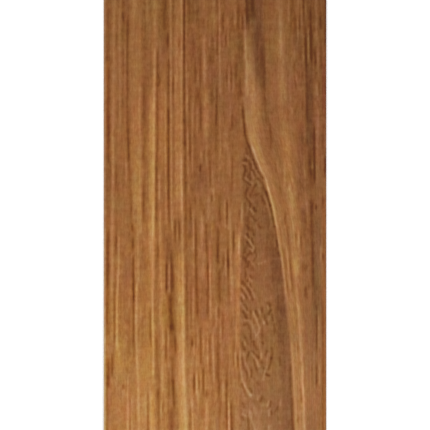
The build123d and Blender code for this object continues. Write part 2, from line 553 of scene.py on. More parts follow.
# Short strokes in the same form but running any way, in order from the top. Most are the curls in the wedge
# between the straight grain and the bend.
CURLS = (
    (1.2, 5, (10, 279), (22, 278.5)),
    (1.4, 7, (13, 252.5), (20, 253)),
    (1.3, 8, (18, 126.3), (27, 126.6)),
    (1.6, -7, (26, 250.5), (56, 251.5)),
    (1.3, 5, (29, 267), (31, 271)),
    (1.4, 6, (30, 275), (30, 281)),
    (1.2, -6, (33, 310), (48, 310)),
    (1.6, -5, (44, 105.5), (58, 106)),
    (1.6, 8, (46, 315), (58, 315)),
    (1.2, -5, (48, 295.2), (66, 295.4)),
    (1.2, 5, (58, 322), (74, 322.6)),
    (1.6, 5, (60, 106), (82, 106)),
    (1.2, 6, (64, 256.6), (90, 257)),
    (1.3, -9, (64, 310.6), (68, 311)),
    (1.2, -6, (68, 178), (90, 178)),
    (1.4, -10, (70, 314.8), (77, 315)),
    (1.4, 6, (72, 152.5), (90, 153)),
    (1.5, 5, (76, 271), (76, 277)),
    (1.4, -6, (76, 284.5), (88, 285)),
    (1.5, 5, (80, 263.5), (87, 264)),
    (1.2, -6, (82, 159), (104, 159.3)),
    (1.3, -7, (98, 151.5), (112, 152.3)),
    (1.3, -8, (103, 120), (109, 120.3)),
    (1.2, 6, (112, 157), (122, 158.5)),
    (1.5, -6, (112, 271), (128, 271.5)),
    (1.8, 7, (114, 250), (136, 252)),
    (1.5, 5, (118, 290), (122, 296)),
    (1.2, 5, (126, 144.5), (136, 145)),
    (1.4, 6, (128, 258), (135, 259)),
    (1.5, 8, (134, 325), (146, 325.5)),
    (1.2, 7, (138, 320), (145, 320)),
    (1.2, -8, (142, 309.8), (149, 309.8)),
    (1.4, -30, (146, 248.9), (152, 250.4), (159, 252.6)),
    (1.3, -24, (148, 245.5), (154, 247)),
    (1.0, 8, (152, 250.5), (160, 251.8)),
    (1.3, 8, (154, 257.5), (160, 258.8)),
    (1.3, 28, (155, 246), (157.5, 248)),
    (1.6, 9, (159, 268.8), (167, 270)),
    (1.4, -30, (160, 242), (159.5, 246), (161, 248.5), (165, 250), (169.5, 250.5)),
    (1.3, -30, (160, 253), (168, 256)),
    (1.1, 20, (161, 252), (168, 253), (173, 256.5), (176, 258)),
    (1.2, 24, (162.5, 243), (163.5, 247)),
    (1.4, -28, (164.5, 242), (166.5, 244.5), (170, 245), (175, 243.5)),
    (1.3, -28, (170, 253), (175, 254.5)),
    (1.3, -32, (171, 258), (174, 260), (177.5, 262)),
    (1.2, 20, (171.5, 251.3), (178, 253)),
    (1.6, -28, (172.5, 249), (176, 248.5), (179, 250)),
    (1.5, -10, (173, 262), (178, 263.8)),
    (1.8, 7, (176, 243.5), (171.5, 250)),
    (1.2, 24, (177.5, 245.5), (180.5, 248), (183, 252)),
    (1.3, -28, (178, 242), (181, 245.5), (184, 249.5)),
    (1.3, -30, (178, 257), (180.5, 260), (184.5, 263)),
    (1.4, -7, (179, 265), (186, 266)),
    (1.2, 6, (180, 267.8), (188, 269.6)),
    (1.3, 7, (181, 256.8), (187, 257.4)),
    (1.3, 16, (181, 257), (185, 258.5)),
    (1.5, -7, (183, 289), (188, 290.5)),
    (1.4, 8, (183.5, 246.6), (188, 248)),
    (1.3, -28, (184, 255.5), (187, 253), (190.5, 252)),
    (1.3, -11, (186, 266.4), (192, 267.6)),
    (1.6, -34, (187, 263), (190.5, 265)),
    (1.3, -28, (187.5, 247.5), (191.5, 245.2), (196, 245), (200, 247.5), (203, 250), (206.5, 249.5)),
    (1.4, 5, (188, 146), (208, 147)),
    (2.2, 10, (191, 284.8), (196, 286.6)),
    (1.2, -44, (192, 265.8), (198, 267.5), (205, 269.8)),
    (1.2, 16, (193, 248), (197, 248), (201, 252)),
    (1.3, -18, (194, 250), (196, 250)),
    (1.3, -18, (194, 255), (193.5, 258.5)),
    (1.4, -26, (196, 261), (199, 262.5), (203.5, 264)),
    (1.0, 18, (196, 264.5), (204, 266.8), (215, 269.7)),
    (1.4, -22, (203, 244.5), (211, 244.8)),
    (1.3, 7, (204, 160), (213, 160)),
    (1.2, -36, (205, 269.8), (213, 271.5), (226, 274)),
    (1.2, 6, (205, 280), (217, 280.5)),
    (1.2, 28, (207, 248), (209.5, 250.5), (213, 253.5)),
    (1.6, -32, (207.5, 253.5), (210.5, 254.5)),
    (1.5, -26, (211.5, 249), (214, 250)),
    (1.8, 8, (214, 271.4), (223, 272.6)),
    (1.3, -24, (216.5, 251.5), (220, 255.5)),
    (1.9, -20, (217, 247), (222, 248.5)),
    (1.3, 5, (217, 251), (219, 260)),
    (1.2, 7, (220, 252), (224, 256)),
    (1.3, 6, (223, 260.5), (231, 262.5)),
    (1.4, -7, (223, 269.8), (232, 270.6)),
    (1.3, 7, (224, 274.5), (231, 275.6)),
    (1.3, -22, (224.5, 257.5), (227.5, 260.5)),
    (1.6, -28, (225, 246), (227, 248), (229, 250)),
    (1.2, -18, (226, 274), (238, 276.3), (252, 278.3)),
    (1.2, -6, (227, 252.5), (227, 259)),
    (1.2, 8, (227, 254), (229.5, 258)),
    (1.4, -22, (230, 252), (234.5, 253.5)),
    (1.2, 6, (231, 247), (235, 248.5)),
    (1.4, 6, (233, 251.5), (240, 253.6)),
    (1.3, -32, (233.5, 246.5), (237, 248.5)),
    (1.2, -6, (234, 118.8), (252, 119)),
    (1.2, 32, (235.5, 244.8), (240, 248.5), (245, 252), (248.5, 254)),
    (1.2, 6, (238, 124.7), (254, 125)),
    (1.3, -28, (238, 251.5), (243, 252.5)),
    (1.3, 7, (240, 277.4), (252, 278.6)),
    (1.5, 6, (240, 288.6), (255, 289.4)),
    (1.2, -40, (240.5, 276), (245.5, 276.6)),
    (1.3, -40, (241.5, 247), (244, 248.5), (247, 250.5)),
    (1.4, -6, (244, 256.8), (252, 258)),
    (1.2, 6, (244, 296.5), (266, 297.8)),
    (1.2, 32, (248, 249.5), (250.3, 252)),
    (1.6, -24, (248, 275.5), (255, 278.5)),
    (1.5, -18, (248.5, 243.5), (251.5, 244.5)),
    (1.3, -28, (248.5, 254.5), (252, 254)),
    (1.2, 14, (249, 246), (252, 247.5)),
    (1.3, -28, (251, 249.5), (253.5, 251)),
    (1.2, -14, (252, 243), (258, 242.5)),
    (1.2, -18, (253, 256), (256, 255.5), (261.5, 252.5)),
    (1.4, -34, (253.5, 248), (256, 247)),
    (1.2, 18, (256, 247), (259, 249.3), (263, 252), (267, 254.3)),
    (1.2, 9, (256, 254.2), (262, 255.6)),
    (1.2, -16, (256, 279.3), (270, 281.3), (290, 282), (300, 282.6)),
    (1.3, -28, (257.5, 244.5), (261, 245.7)),
    (1.0, 18, (258, 240.3), (272, 240.5)),
    (1.5, 8, (258, 280.8), (274, 282.4), (300, 283.2)),
    (1.4, -7, (259, 242.2), (266, 245.8)),
    (1.4, -28, (261, 248.3), (266, 247)),
    (1.4, 9, (263, 137.4), (278, 138.2)),
    (1.2, 18, (263.5, 258), (262.5, 261), (261, 264.5)),
    (1.4, -26, (266, 251.5), (269, 252)),
    (1.4, -24, (268, 244), (272, 245), (277, 245)),
    (1.2, 5, (269.5, 241.5), (266.5, 250.5)),
    (1.5, 6, (270, 253), (267, 259)),
    (1.2, -7, (272, 289), (290, 291)),
    (1.3, -9, (273, 240.8), (273, 245)),
    (1.2, -20, (275.5, 249.5), (277.5, 252)),
    (1.5, 6, (276, 259), (290, 258.6)),
    (1.2, -32, (278, 247.5), (281, 246.8)),
    (1.3, 28, (278, 248.7), (280.5, 250.7)),
    (1.3, -6, (280, 246.5), (284, 249.5)),
    (1.5, -34, (281.5, 242), (284.5, 243.8)),
    (1.1, 24, (282.5, 247.3), (285.5, 248)),
    (1.2, -18, (283.5, 249.5), (286.5, 250.5)),
    (1.2, 20, (285.5, 241.5), (289, 244.5), (294, 247.5), (298, 249.5)),
    (1.4, -6, (286, 105), (304, 105.3)),
    (1.3, -7, (286, 111), (298, 112)),
    (1.2, -6, (286, 166.5), (302, 167)),
    (1.2, 24, (287, 249.7), (292, 252.5), (297, 254)),
    (1.5, -10, (287, 286.6), (296, 287.4)),
    (1.4, -38, (287.5, 246.8), (292, 249.5), (299, 252.5)),
    (1.3, -32, (288, 240.5), (292, 243), (297.5, 246.5)),
    (1.2, -7, (290, 298.5), (297, 299)),
    (1.3, -8, (291, 311.5), (300, 312.2)),
    (1.5, -10, (292, 238.5), (299, 239)),
    (1.3, 22, (293.5, 241), (297.5, 243.5)),
    (1.6, 16, (296, 270.5), (301, 269.5)),
    (1.4, -18, (296, 277.5), (309, 278.3)),
    (1.4, -30, (298, 241), (300.5, 242)),
    (1.5, -36, (302, 268), (305, 269.5)),
    (1.2, 18, (303, 240.5), (307.5, 243.5), (312.5, 247)),
    (1.2, 14, (303, 258.5), (316, 259.5)),
    (1.3, -20, (304, 244), (309.5, 247)),
    (1.3, 20, (305.5, 267.3), (309, 268.3)),
    (1.3, 7, (306, 108.2), (316, 108.6)),
    (1.3, -22, (307.5, 261), (311, 262)),
    (1.4, -6, (308, 293), (328, 296)),
    (1.6, 12, (308, 315.4), (313, 316)),
    (1.2, 22, (309, 258), (312.5, 259)),
    (1.4, -32, (309.5, 270), (313.5, 268)),
    (1.5, -42, (311, 242.5), (314, 244), (317.5, 246)),
    (1.2, -24, (311, 250), (318, 250.5)),
    (1.3, 26, (311, 252.8), (318, 255.5), (327, 259), (331, 258.5), (334, 256.5)),
    (1.4, -34, (311, 255), (316, 257.6)),
    (1.4, 6, (314, 264), (320, 268)),
    (1.2, -28, (314, 271.5), (320, 272)),
    (1.4, -32, (314.5, 264), (319, 264)),
    (1.5, 14, (316, 250), (327, 252)),
    (1.2, 20, (316, 268.5), (320.5, 268)),
    (1.2, 5, (316, 274), (330, 276)),
    (1.2, 24, (319.5, 244), (320, 248)),
    (1.2, -24, (319.5, 253), (322.5, 254)),
    (1.4, 34, (319.5, 262.5), (322.5, 263.5)),
    (1.2, -30, (320.5, 266), (324, 266.7)),
    (1.5, 18, (321.5, 249.5), (327, 252.5), (333, 255.5), (338, 258), (347, 258.5)),
    (1.4, -22, (324, 273.7), (331.5, 274)),
    (1.4, -24, (324.5, 243), (323.5, 246.5), (326, 248.5), (330, 249.5)),
    (1.4, 7, (326, 314.5), (345, 315)),
    (1.3, -14, (327, 261.5), (331, 262), (335.5, 262)),
    (1.3, -24, (332, 250.5), (336, 250), (341, 251.5)),
    (1.2, 7, (332, 299.5), (344, 299.8)),
    (1.4, 7, (333, 241.5), (331, 248.5)),
    (1.5, -22, (333, 243), (336.5, 244.5)),
    (1.4, -8, (333, 256), (337, 260)),
    (1.2, 6, (334, 174.4), (349, 176)),
    (1.3, 7, (334, 183), (344, 183)),
    (1.3, -9, (334, 238.5), (340, 239)),
    (1.2, -22, (337.5, 245), (343.5, 247.3)),
    (1.4, 6, (340, 250), (346, 252)),
    (1.4, -30, (341, 253.5), (344, 254), (349, 256)),
    (1.2, 24, (341.5, 243.8), (344, 244.5)),
    (1.2, -32, (341.8, 261.5), (343.5, 263)),
    (1.2, -6, (342, 134), (362, 134)),
    (1.5, -36, (342.5, 241.7), (345, 242.3), (349, 244)),
    (1.3, 6, (345, 320), (348, 325)),
    (1.6, -7, (346, 172.5), (358, 173)),
    (1.4, -30, (348, 271), (352, 271.7), (358, 270.8)),
    (1.4, 26, (350, 240), (362, 239.6), (372, 240.6), (380, 242.3), (387, 245), (395, 250.5)),
    (1.4, 6, (350, 249.5), (357, 252)),
    (1.3, 5, (350, 304.8), (368, 305)),
    (1.5, -5, (350, 308), (350, 314)),
    (1.2, -26, (350.5, 266.3), (355, 265.5)),
    (1.3, -7, (351, 240), (358, 241.5)),
    (1.2, 20, (351, 243), (360, 244.5), (368, 247.5), (374, 249)),
    (1.4, -34, (351.5, 252), (354, 255), (357, 258)),
    (1.2, -28, (352, 248.5), (355, 247.5), (360, 246)),
    (1.3, 24, (352, 251.3), (357, 253.5), (361, 256.5), (366.5, 258.5)),
    (1.3, 26, (353, 261), (358, 261)),
    (1.2, 20, (353, 267), (360, 266.7), (367, 266)),
    (1.3, -8, (354, 160), (364, 160.3)),
    (1.3, 10, (354, 242), (366, 242.6)),
    (1.4, -22, (357, 279), (364, 280)),
    (1.2, -30, (358, 241.5), (366.5, 243), (371.5, 246), (377, 247)),
    (1.3, -28, (358, 271), (363.5, 270), (368.5, 268)),
    (1.3, -30, (359, 253.5), (364.5, 254.5), (369.5, 256)),
    (1.4, 8, (359.5, 269), (358.5, 274)),
    (1.3, -20, (360, 260.5), (365.5, 261.5), (368, 263.5)),
    (1.4, -10, (361, 165), (368, 166.5)),
    (1.8, -10, (361, 294.5), (364, 299)),
    (1.3, -16, (364, 289.7), (394, 290.2)),
    (1.5, 8, (365, 290.6), (373, 291)),
    (1.2, 6, (366, 168), (380, 168.6)),
    (1.3, -6, (366, 296), (408, 296.5)),
    (1.2, -5, (366, 320), (394, 320.5)),
    (1.3, 6, (369, 250.5), (370.5, 259.5)),
    (1.1, -34, (369, 251), (376, 251)),
    (1.5, 9, (369, 306), (377, 307.5)),
    (1.2, 18, (370, 264.5), (379, 263)),
    (1.6, 7, (373, 242), (377.5, 249.5)),
    (1.4, -44, (374, 266), (375, 268.5)),
    (2, -16, (379.5, 246.5), (385, 249)),
    (1.3, -7, (380, 250), (384, 253)),
    (1.2, 6, (381, 271), (390, 272.5)),
    (1.3, -24, (381.5, 256.3), (385, 257.5)),
    (1.3, 6, (384, 143.6), (402, 144)),
    (1.3, -30, (384, 241.5), (389, 244), (395, 244.5)),
    (1.5, 5, (386, 249), (391, 256)),
    (1.4, 8, (388, 241.2), (395, 242.4)),
    (1.5, -42, (388, 249.8), (391.5, 251)),
    (1.5, 10, (394, 243.5), (406, 245.5)),
    (1.2, 20, (395.5, 258.5), (399.5, 257.3)),
    (1.3, -26, (396, 261.5), (400.5, 260.5)),
    (1.3, 9, (396, 314), (404, 314.5)),
    (1.6, 8, (398, 266.5), (393, 270.5)),
    (1.4, -30, (398, 291.3), (420, 291.8), (430, 292.5)),
    (1.3, 18, (399.5, 280), (405, 279.7)),
    (1.2, 26, (401, 268), (405.5, 267)),
    (1.3, -24, (401, 270.5), (406, 269.7)),
    (1.6, 6, (402, 243), (408, 247)),
    (1.3, -26, (402.5, 242), (404.5, 243.7), (407, 244)),
    (1.3, -7, (404, 319), (428, 318.5)),
    (2.4, 14, (405, 252), (411, 254.5)),
    (1.2, 16, (405, 288.3), (418, 288.7)),
    (1.3, -20, (406.5, 277), (411, 275)),
    (1.1, 6, (410, 160), (430, 160)),
    (1.2, 24, (410, 268.3), (415.5, 268.5)),
    (1.3, -22, (410.5, 270.7), (414, 271)),
    (1.6, 22, (411, 249), (418, 250.7), (424, 253), (430, 255)),
    (1.3, 22, (413.5, 242), (415.5, 244.5)),
    (1.1, -6, (414, 163.5), (430, 163.8)),
    (1.3, -6, (414, 180.5), (430, 181)),
    (1.4, -7, (416, 147), (430, 146)),
    (1.3, -30, (417, 241.7), (419.5, 243)),
    (1.5, 6, (418, 114), (424, 117.5)),
    (1.3, -24, (418, 247.5), (430, 248.5)),
    (1.8, 9, (418, 295.5), (412, 299)),
    (1.6, -8, (424, 105.5), (430, 107)),
    (1.4, 8, (424, 246), (426.5, 250)),
    (1.4, 24, (426.5, 268), (430, 268.5)),
)

# Each soft shade under the lines is half-width, tone, dull, red, and the points that it runs through. Dull is
# greyer above 0 and more orange below. Red is redder above 0 and more golden below. A shade fades out over
# SHADE_FADE_SHARE half-widths, within the two SHADE_FADES.
SHADE_FADES = (12, 60)
SHADE_FADE_SHARE = 5
SHADES = (
    (1.3, 0, 12, 0, (0, 103.8), (430, 103.8)),
    (1.6, 0, -4, -3, (335, 104.8), (430, 104.8)),
    (2, 7, 0, 0, (56, 105.5), (108, 105.5)),
    (1.8, 0, -6, 0, (210, 107), (390, 107)),
    (1.2, 0, -4, 0, (24, 107.2), (152, 107.2)),
    (1.8, 0, -7, 0, (50, 107.5), (160, 107.5)),
    (1.6, 0, 1, 4, (362, 109), (430, 109)),
    (1.8, -7, 0, 0, (388, 110.5), (408, 111)),
    (11, -5, 1, 0, (150, 113), (224, 113)),
    (11, 0, -5, -1, (275, 114), (352, 114)),
    (9, -4, -2, -2, (0, 116), (48, 116)),
    (6, 0, 3.5, 0, (346, 118), (414, 119)),
    (4, 10, -2, -2, (330, 118.5), (388, 118.5)),
    (11, 0, 0, -2.5, (188, 121), (210, 122)),
    (5, 0, 0, -3, (318, 121), (358, 121)),
    (14, 0, 0, 2, (388, 122), (430, 122)),
    (2.5, 9, 0, 0, (322, 122.5), (338, 122.5)),
    (12, 0, 0, -2, (28, 124), (52, 124)),
    (18, -4, 0, 0, (92, 124), (122, 124)),
    (22, 0, 0, 1.5, (372, 126), (430, 126)),
    (5, 0, 0, 3, (374, 126), (402, 126)),
    (2.5, -10, 0, 0, (0, 127), (14, 127)),
    (3, 6, 0, 0, (240, 127), (270, 128.5)),
    (4.4, -4, 5, 2.5, (246, 127.5), (290, 127.5)),
    (2.2, -7, 0, 0, (368, 127.5), (400, 127)),
    (13, 0, -2.5, 0, (312, 128), (338, 126)),
    (10, 0, 3, 0, (196, 130), (236, 130)),
    (28, 11, -2, -1.4, (320, 130), (430, 130)),
    (4, 0, 4, 0, (160, 132), (216, 133)),
    (7, 5, 0, 0.5, (254, 134), (352, 134)),
    (5.5, 14, 1, -1, (0, 134.8), (240, 135)),
    (2.2, -10, 0, 0, (202, 135), (219, 135)),
    (5, 12, 0, 0, (218, 135), (234, 135)),
    (5, 2, -1, 4, (82, 135.5), (148, 135.5)),
    (3.8, 8, 0, -2, (155, 136.5), (225, 136.5)),
    (2.2, 7, 0, 0, (28, 140.5), (80, 140.5)),
    (3, 13, 0, 0, (296, 141), (322, 141)),
    (4, -8, 0, 0, (248, 142), (280, 142.5)),
    (4, 0, 1, 3.5, (86, 144.3), (128, 144.3)),
    (40, 0, -3, 0, (70, 145), (345, 145)),
    (2, 0, -3, -3, (120, 145), (164, 145)),
    (6, 6, 0, 0, (124, 145), (158, 146)),
    (44, 2, 0, 0, (290, 146), (430, 146)),
    (5, 0, 3, 0, (372, 146), (430, 147)),
    (5, 6, 4, 0, (384, 146), (430, 146)),
    (6, 8, -2, 0, (205, 147), (430, 147)),
    (2.4, 11, 0, 0, (298, 147), (316, 147.5)),
    (4, 0, 0, -3, (236, 149), (314, 152)),
    (18, 0, 0, -2, (0, 150), (34, 150)),
    (3, 0, 0, -3, (134, 150), (200, 150)),
    (2.5, 0, 5, 0, (222, 150.5), (262, 150.5)),
    (3.4, 30, 3, -1, (85, 151.5), (250, 151.5)),
    (2.2, 10, 2, 2, (240, 151.8), (305, 151.8)),
    (3, 0, 0, 3, (255, 152), (305, 152)),
    (2.6, 24, 0, 0, (385, 152), (430, 152)),
    (5, 0, 0, -3.5, (298, 153), (345, 152)),
    (4, 0, -3, 0, (330, 153.5), (368, 153.5)),
    (3, 8, 0, 0.5, (0, 154), (95, 154)),
    (3, 0, -4, 0, (296, 154.5), (350, 154.5)),
    (5, 0, -3, 0, (212, 157), (280, 157)),
    (14, 0, 0, -2, (0, 158), (50, 158)),
    (7, 6, -3, 1.5, (60, 160), (180, 163)),
    (3, 0, 0, 2.5, (88, 160.5), (124, 160.5)),
    (10, 0, 0, -2.5, (120, 161), (148, 161)),
    (2.2, -7, 0, 0, (28, 163), (56, 164)),
    (4, -7, 0, 0, (30, 163), (58, 163)),
    (4, 9, -1, 0, (245, 163), (430, 164)),
    (2.5, 0, 0, -4, (292, 163), (338, 164.5)),
    (2.4, 8, 0, 0, (60, 164.5), (86, 164.5)),
    (5, 0, 0, 3, (210, 166), (228, 166)),
    (8, 0, -3, -2, (290, 166), (350, 164)),
    (2, 0, -3, -2, (115, 168), (180, 168)),
    (4.5, -9, 3, 2, (226, 168.5), (304, 168.5)),
    (5, 0, 0, -3, (232, 169), (252, 169)),
    (20, 3, 0, 0, (398, 170), (430, 170)),
    (3.2, -4, 3, 3, (405, 171), (430, 171)),
    (6, 0, -3, 0, (336, 172), (380, 173)),
    (2.4, 8, 0, 0, (374, 174), (396, 174)),
    (2.4, -7, 0, 0, (190, 177), (220, 176)),
    (3.5, 14, 0, 0.5, (0, 177.5), (225, 177.8)),
    (4.3, 28, 1, 1, (245, 179.8), (320, 180.2), (400, 181.3), (430, 182.5)),
    (6, 0, 0, -2, (226, 180), (360, 181)),
    (4, -6, 0, 0, (262, 180), (284, 182)),
    (5, 0, 0, -3, (284, 180), (330, 181)),
    (6, 0, 0, 4, (268, 182), (288, 182)),
    (6, 0, 0, -4, (412, 184), (430, 184)),
    (4, 0, 5, 0, (396, 187), (430, 187)),
    (5, 0, 0, -3.5, (384, 188), (400, 188)),
    (4, 9, 0, 0, (390, 188), (430, 188)),
    (2.4, 6, 0, 0, (66, 190), (100, 190.5)),
    (2.6, -10, 3, 1, (214, 190), (240, 189.6)),
    (6.5, 0, 0, 2.5, (30, 191), (64, 190)),
    (3.5, 0, 0, 4, (270, 191.5), (318, 191.5)),
    (3.5, -4, 2, 4, (26, 192), (64, 192)),
    (6.5, -4, 2, -3, (0, 193.5), (28, 193.5)),
    (4.5, -8, 1, -1.5, (178, 194.5), (196, 194.5)),
    (2.4, 12, 3, 0, (350, 197), (372, 197)),
    (3, -8, -3, 1, (82, 197.5), (108, 197.5)),
    (3.5, -10, 0, 0, (160, 197.5), (196, 197.5)),
    (6, -6, 0, 0, (146, 198), (190, 198)),
    (6, 0, 0, -3.5, (202, 199.5), (216, 199.5)),
    (10, -3, 0, 1.5, (25, 200), (235, 200)),
    (12, 8, -2, 1, (300, 200), (430, 200)),
    (4, -6, 3, 2.5, (162, 202.5), (194, 202.5)),
    (4, 0, 0, 2.5, (215, 203), (250, 203)),
    (9, 0, 0, 2.5, (225, 203), (335, 203)),
    (4, -8, 2, 2, (304, 203), (322, 203)),
    (4, -6, 0, 0, (392, 204), (410, 204)),
    (16, -4, 0, 0, (216, 205), (272, 208)),
    (8, 0, 0, -3, (342, 205), (358, 205)),
    (2.8, 14, 0, 0, (82, 205.5), (142, 205.5)),
    (4, 0, -3.5, 0, (238, 207.5), (292, 210)),
    (2.4, 0, 0, 5, (242, 209.5), (270, 209.5)),
    (4.5, -3, 2, 3.5, (56, 211.5), (84, 211.5)),
    (5, -5, 0, 0, (116, 212), (166, 213)),
    (2.4, 0, 3, 0, (186, 212), (228, 212)),
    (3.5, 0, -3.5, 0, (286, 212), (318, 214)),
    (4, 5, 0, -3, (8, 212.5), (26, 212.5)),
    (2, 6, -5, -3, (218, 212.8), (240, 212.8)),
    (4.5, 0, 3.5, 0, (26, 213), (64, 212)),
    (7, 0, 3, 0, (40, 213), (134, 213)),
    (9, 0, 0, 3, (362, 213), (380, 213)),
    (4, 0, 0, 3, (312, 215), (342, 216)),
    (2.6, 0, 4, 0, (108, 215.5), (134, 215.5)),
    (16, 0, 0, 2, (286, 216), (386, 216)),
    (2.4, 7, 0, 0, (366, 216), (408, 214)),
    (2, -4, 4, 1, (414, 217), (430, 217)),
    (3.5, 0, 0, -3.5, (36, 218), (58, 218)),
    (7, 0, 3, 0, (238, 219), (300, 219)),
    (7, 0, 0, 2.5, (22, 220), (66, 220)),
    (12, -5, 0, 0, (46, 220), (150, 222)),
    (6, 0, 0, 3, (14, 221), (34, 221)),
    (2.4, 0, 0, 3.5, (342, 221), (370, 221)),
    (3.2, -2, 1, -2, (92, 222), (113, 222)),
    (24, 0, 2, 0, (146, 222), (236, 222)),
    (6, 8, 0, 0, (384, 224), (430, 224)),
    (3, -2, 5, -1, (276, 224.5), (307, 224.5)),
    (2.2, 8, 0, 0, (282, 225), (322, 224.5)),
    (10, 0, 0, 3, (414, 225), (430, 225)),
    (7, 0, 0, 3, (50, 226), (92, 227)),
    (6, 0, 0, 2.5, (140, 226), (160, 226)),
    (6, 0, 0, 2.5, (296, 226), (355, 226)),
    (3.2, 2, 1, 2.5, (0, 227), (32, 227)),
    (5, 0, 0, 3, (198, 227), (218, 227)),
    (12, 0, 3, 0, (20, 228), (135, 228)),
    (4, 0, 0, 4, (404, 228), (430, 228)),
    (2, 11, 0, 0, (342, 229.8), (364, 229.8)),
    (3, 9, 0, 0, (42, 231), (72, 232)),
    (3.5, 0, 0, -2.5, (36, 232), (68, 232)),
    (5, 0, 0, 3, (74, 232), (98, 232)),
    (3, 0, 0, 3, (282, 233.5), (332, 234)),
    (3, 0, -4, 0, (84, 234), (108, 235)),
    (9, -6, 0, 1, (88, 235), (152, 235)),
    (3.5, 0, 4, 0, (258, 235), (280, 235)),
    (3.6, 2, 1, 3, (96, 235.5), (126, 235.5)),
    (5, 0, -4, -2, (354, 236), (376, 238)),
    (2.4, 22, 2, 1, (226, 237.5), (350, 237.2)),
    (2.4, 0, 0, 5, (240, 238.5), (258, 238.5)),
    (5, 4, 0, 0, (416, 239), (430, 239)),
    (3.6, -8, 2, -2, (28, 239.3), (78, 239.5)),
    (7, 0, 3, 0, (396, 240), (430, 240)),
    (1.8, 0, 3.5, 0, (142, 241), (226, 241)),
    (2.4, 0, 0, -3, (196, 242), (240, 242)),
    (9, 0, -3, 0, (240, 242), (304, 246)),
    (4, 0, 0, -2.5, (36, 243.5), (78, 243.5)),
    (4, -8, 0, 0, (14, 244), (34, 246)),
    (6, 7, 0, 0, (368, 244), (410, 246)),
    (6, 8, 0, 1.5, (404, 244), (430, 246)),
    (5, -7, 0, 0, (4, 245), (38, 246)),
    (6, 0, 0, 3, (76, 245), (120, 246)),
    (3.5, -10, 0, 0, (200, 245.5), (272, 244.5)),
    (9, 0, 0, 3, (244, 246), (294, 246)),
    (7, 9, 2, 0, (372, 246), (404, 250)),
    (3.6, 12, 0, -2, (30, 247.5), (80, 248.5)),
    (3, -6, 0, 0, (84, 249), (96, 250)),
    (8, -9, 0, 0, (146, 249), (214, 250)),
    (4, 0, 3, 0, (262, 249), (276, 250)),
    (4, 0, -5, 0, (74, 249.5), (102, 249.5)),
    (5, -14, 3, -3, (0, 250), (30, 250)),
    (6.5, 2, 5, 0, (0, 250), (130, 250)),
    (2.6, -8, -2, 0, (60, 250.5), (96, 251)),
    (5, 0, 4, 0, (0, 254), (50, 260)),
    (9, 0, 2.5, 0, (226, 254), (276, 256)),
    (3, -12, 2, 0, (226, 257), (240, 257.5)),
    (5.8, -26, 6, 3, (10, 257.5), (50, 258.8), (75, 260.3), (98, 263)),
    (9, -7, 2, 0, (188, 258), (236, 262)),
    (4, -12, 6, 3, (0, 259), (36, 258.5)),
    (9, 10, 2, 0, (398, 260), (430, 262)),
    (4.5, 0, 0, -3, (50, 260.5), (106, 261)),
    (5, 0, 4, 0, (358, 262), (378, 263)),
    (5, 0, 4, 0, (84, 264), (128, 267)),
    (3.5, 0, 3, 0, (94, 264), (134, 266.5)),
    (22, 0, 2.5, 0, (380, 264), (430, 264)),
    (4, -10, 0, 0, (204, 265), (232, 267)),
    (3, -8, 0, 0, (402, 265), (430, 266)),
    (2, 0, -4, 0, (178, 265.5), (193, 268)),
    (6, 7, 1, 4, (244, 266), (276, 267)),
    (4.5, -9, 0, 0, (298, 266), (322, 266.5)),
    (4, 0, 0, 3.5, (126, 267.5), (162, 271)),
    (30, 0, 2, 0, (0, 268), (210, 272)),
    (1.3, 0, 0, -4, (196, 268), (214, 271.8), (230, 274.4)),
    (9, 0, 0, 2.5, (254, 268), (276, 268)),
    (6, -8, 0, 0, (282, 268), (302, 268)),
    (2, -7, 0, 0, (264, 269), (274, 271)),
    (2.6, -6, 0, 0, (274, 269), (290, 272)),
    (7, -5, 0, 0, (120, 270), (172, 274)),
    (4.5, 0, 0, 4, (58, 271), (100, 276)),
    (4, 0, -3, 0, (92, 272), (142, 275)),
    (3, 7, 3, 0, (190, 273), (198, 277)),
    (1.6, 0, -4, 0, (214, 273), (228, 274.6)),
    (7, 4, -1, -3, (26, 273.5), (64, 273.5)),
    (5, 0, 4, 2, (84, 274), (160, 275)),
    (6, 5, 0, 0, (56, 275), (112, 277)),
    (9, 0, 0, -2.5, (305, 275), (400, 278)),
    (5, 7, -1, -1, (26, 278), (104, 281)),
    (5, 0, -3, 0, (128, 278), (168, 281)),
    (3, -8, 0, 0, (174, 278.5), (186, 281.5)),
    (3, 0, 4, 0, (78, 280), (122, 283)),
    (3, 0, 0, -4, (244, 280), (260, 282.5)),
    (5, 0, 0, 2.5, (316, 280), (368, 281)),
    (4, 8, 0, 0, (280, 281), (300, 283)),
    (4.5, 12, -1, 0, (70, 281.5), (110, 282.5), (160, 287), (190, 289.5)),
    (3, 6, 0, 0, (372, 281.5), (430, 282)),
    (3, -6, 5, 3, (300, 282), (322, 282.6)),
    (24, 0, 2, 0, (20, 284), (110, 284)),
    (8, 0, 2, 0, (20, 285), (140, 290)),
    (6, 0, 0, -3, (170, 286), (184, 286)),
    (5, 4, 0, 0, (138, 287), (172, 288)),
    (3, 10, 0, 0, (134, 287.5), (154, 288)),
    (4, 0, 0, -3, (10, 288), (56, 288)),
    (4, 0, 0, -3.5, (142, 288), (162, 287)),
    (5, 0, 3, 0, (222, 289), (254, 290)),
    (3, 0, 0, -3.5, (104, 289.5), (130, 290)),
    (4.5, 12, 2, -1, (170, 291), (200, 291), (240, 294.5), (290, 297)),
    (4, 0, 0, -3, (184, 291), (212, 291)),
    (3, 0, 0, -3, (0, 292), (32, 292)),
    (9, -2, 0, 2.5, (58, 292), (140, 294)),
    (4, 0, 0, -2.5, (284, 292), (356, 295)),
    (3.5, 0, 0, -4, (194, 293.5), (212, 294)),
    (4, 0, 0, 3, (180, 294), (196, 295)),
    (3, 12, 0, 0, (256, 294.5), (280, 295)),
    (2.6, -9, 0, 0, (174, 295), (186, 295)),
    (5.5, 0, 5, 0, (330, 295), (346, 296)),
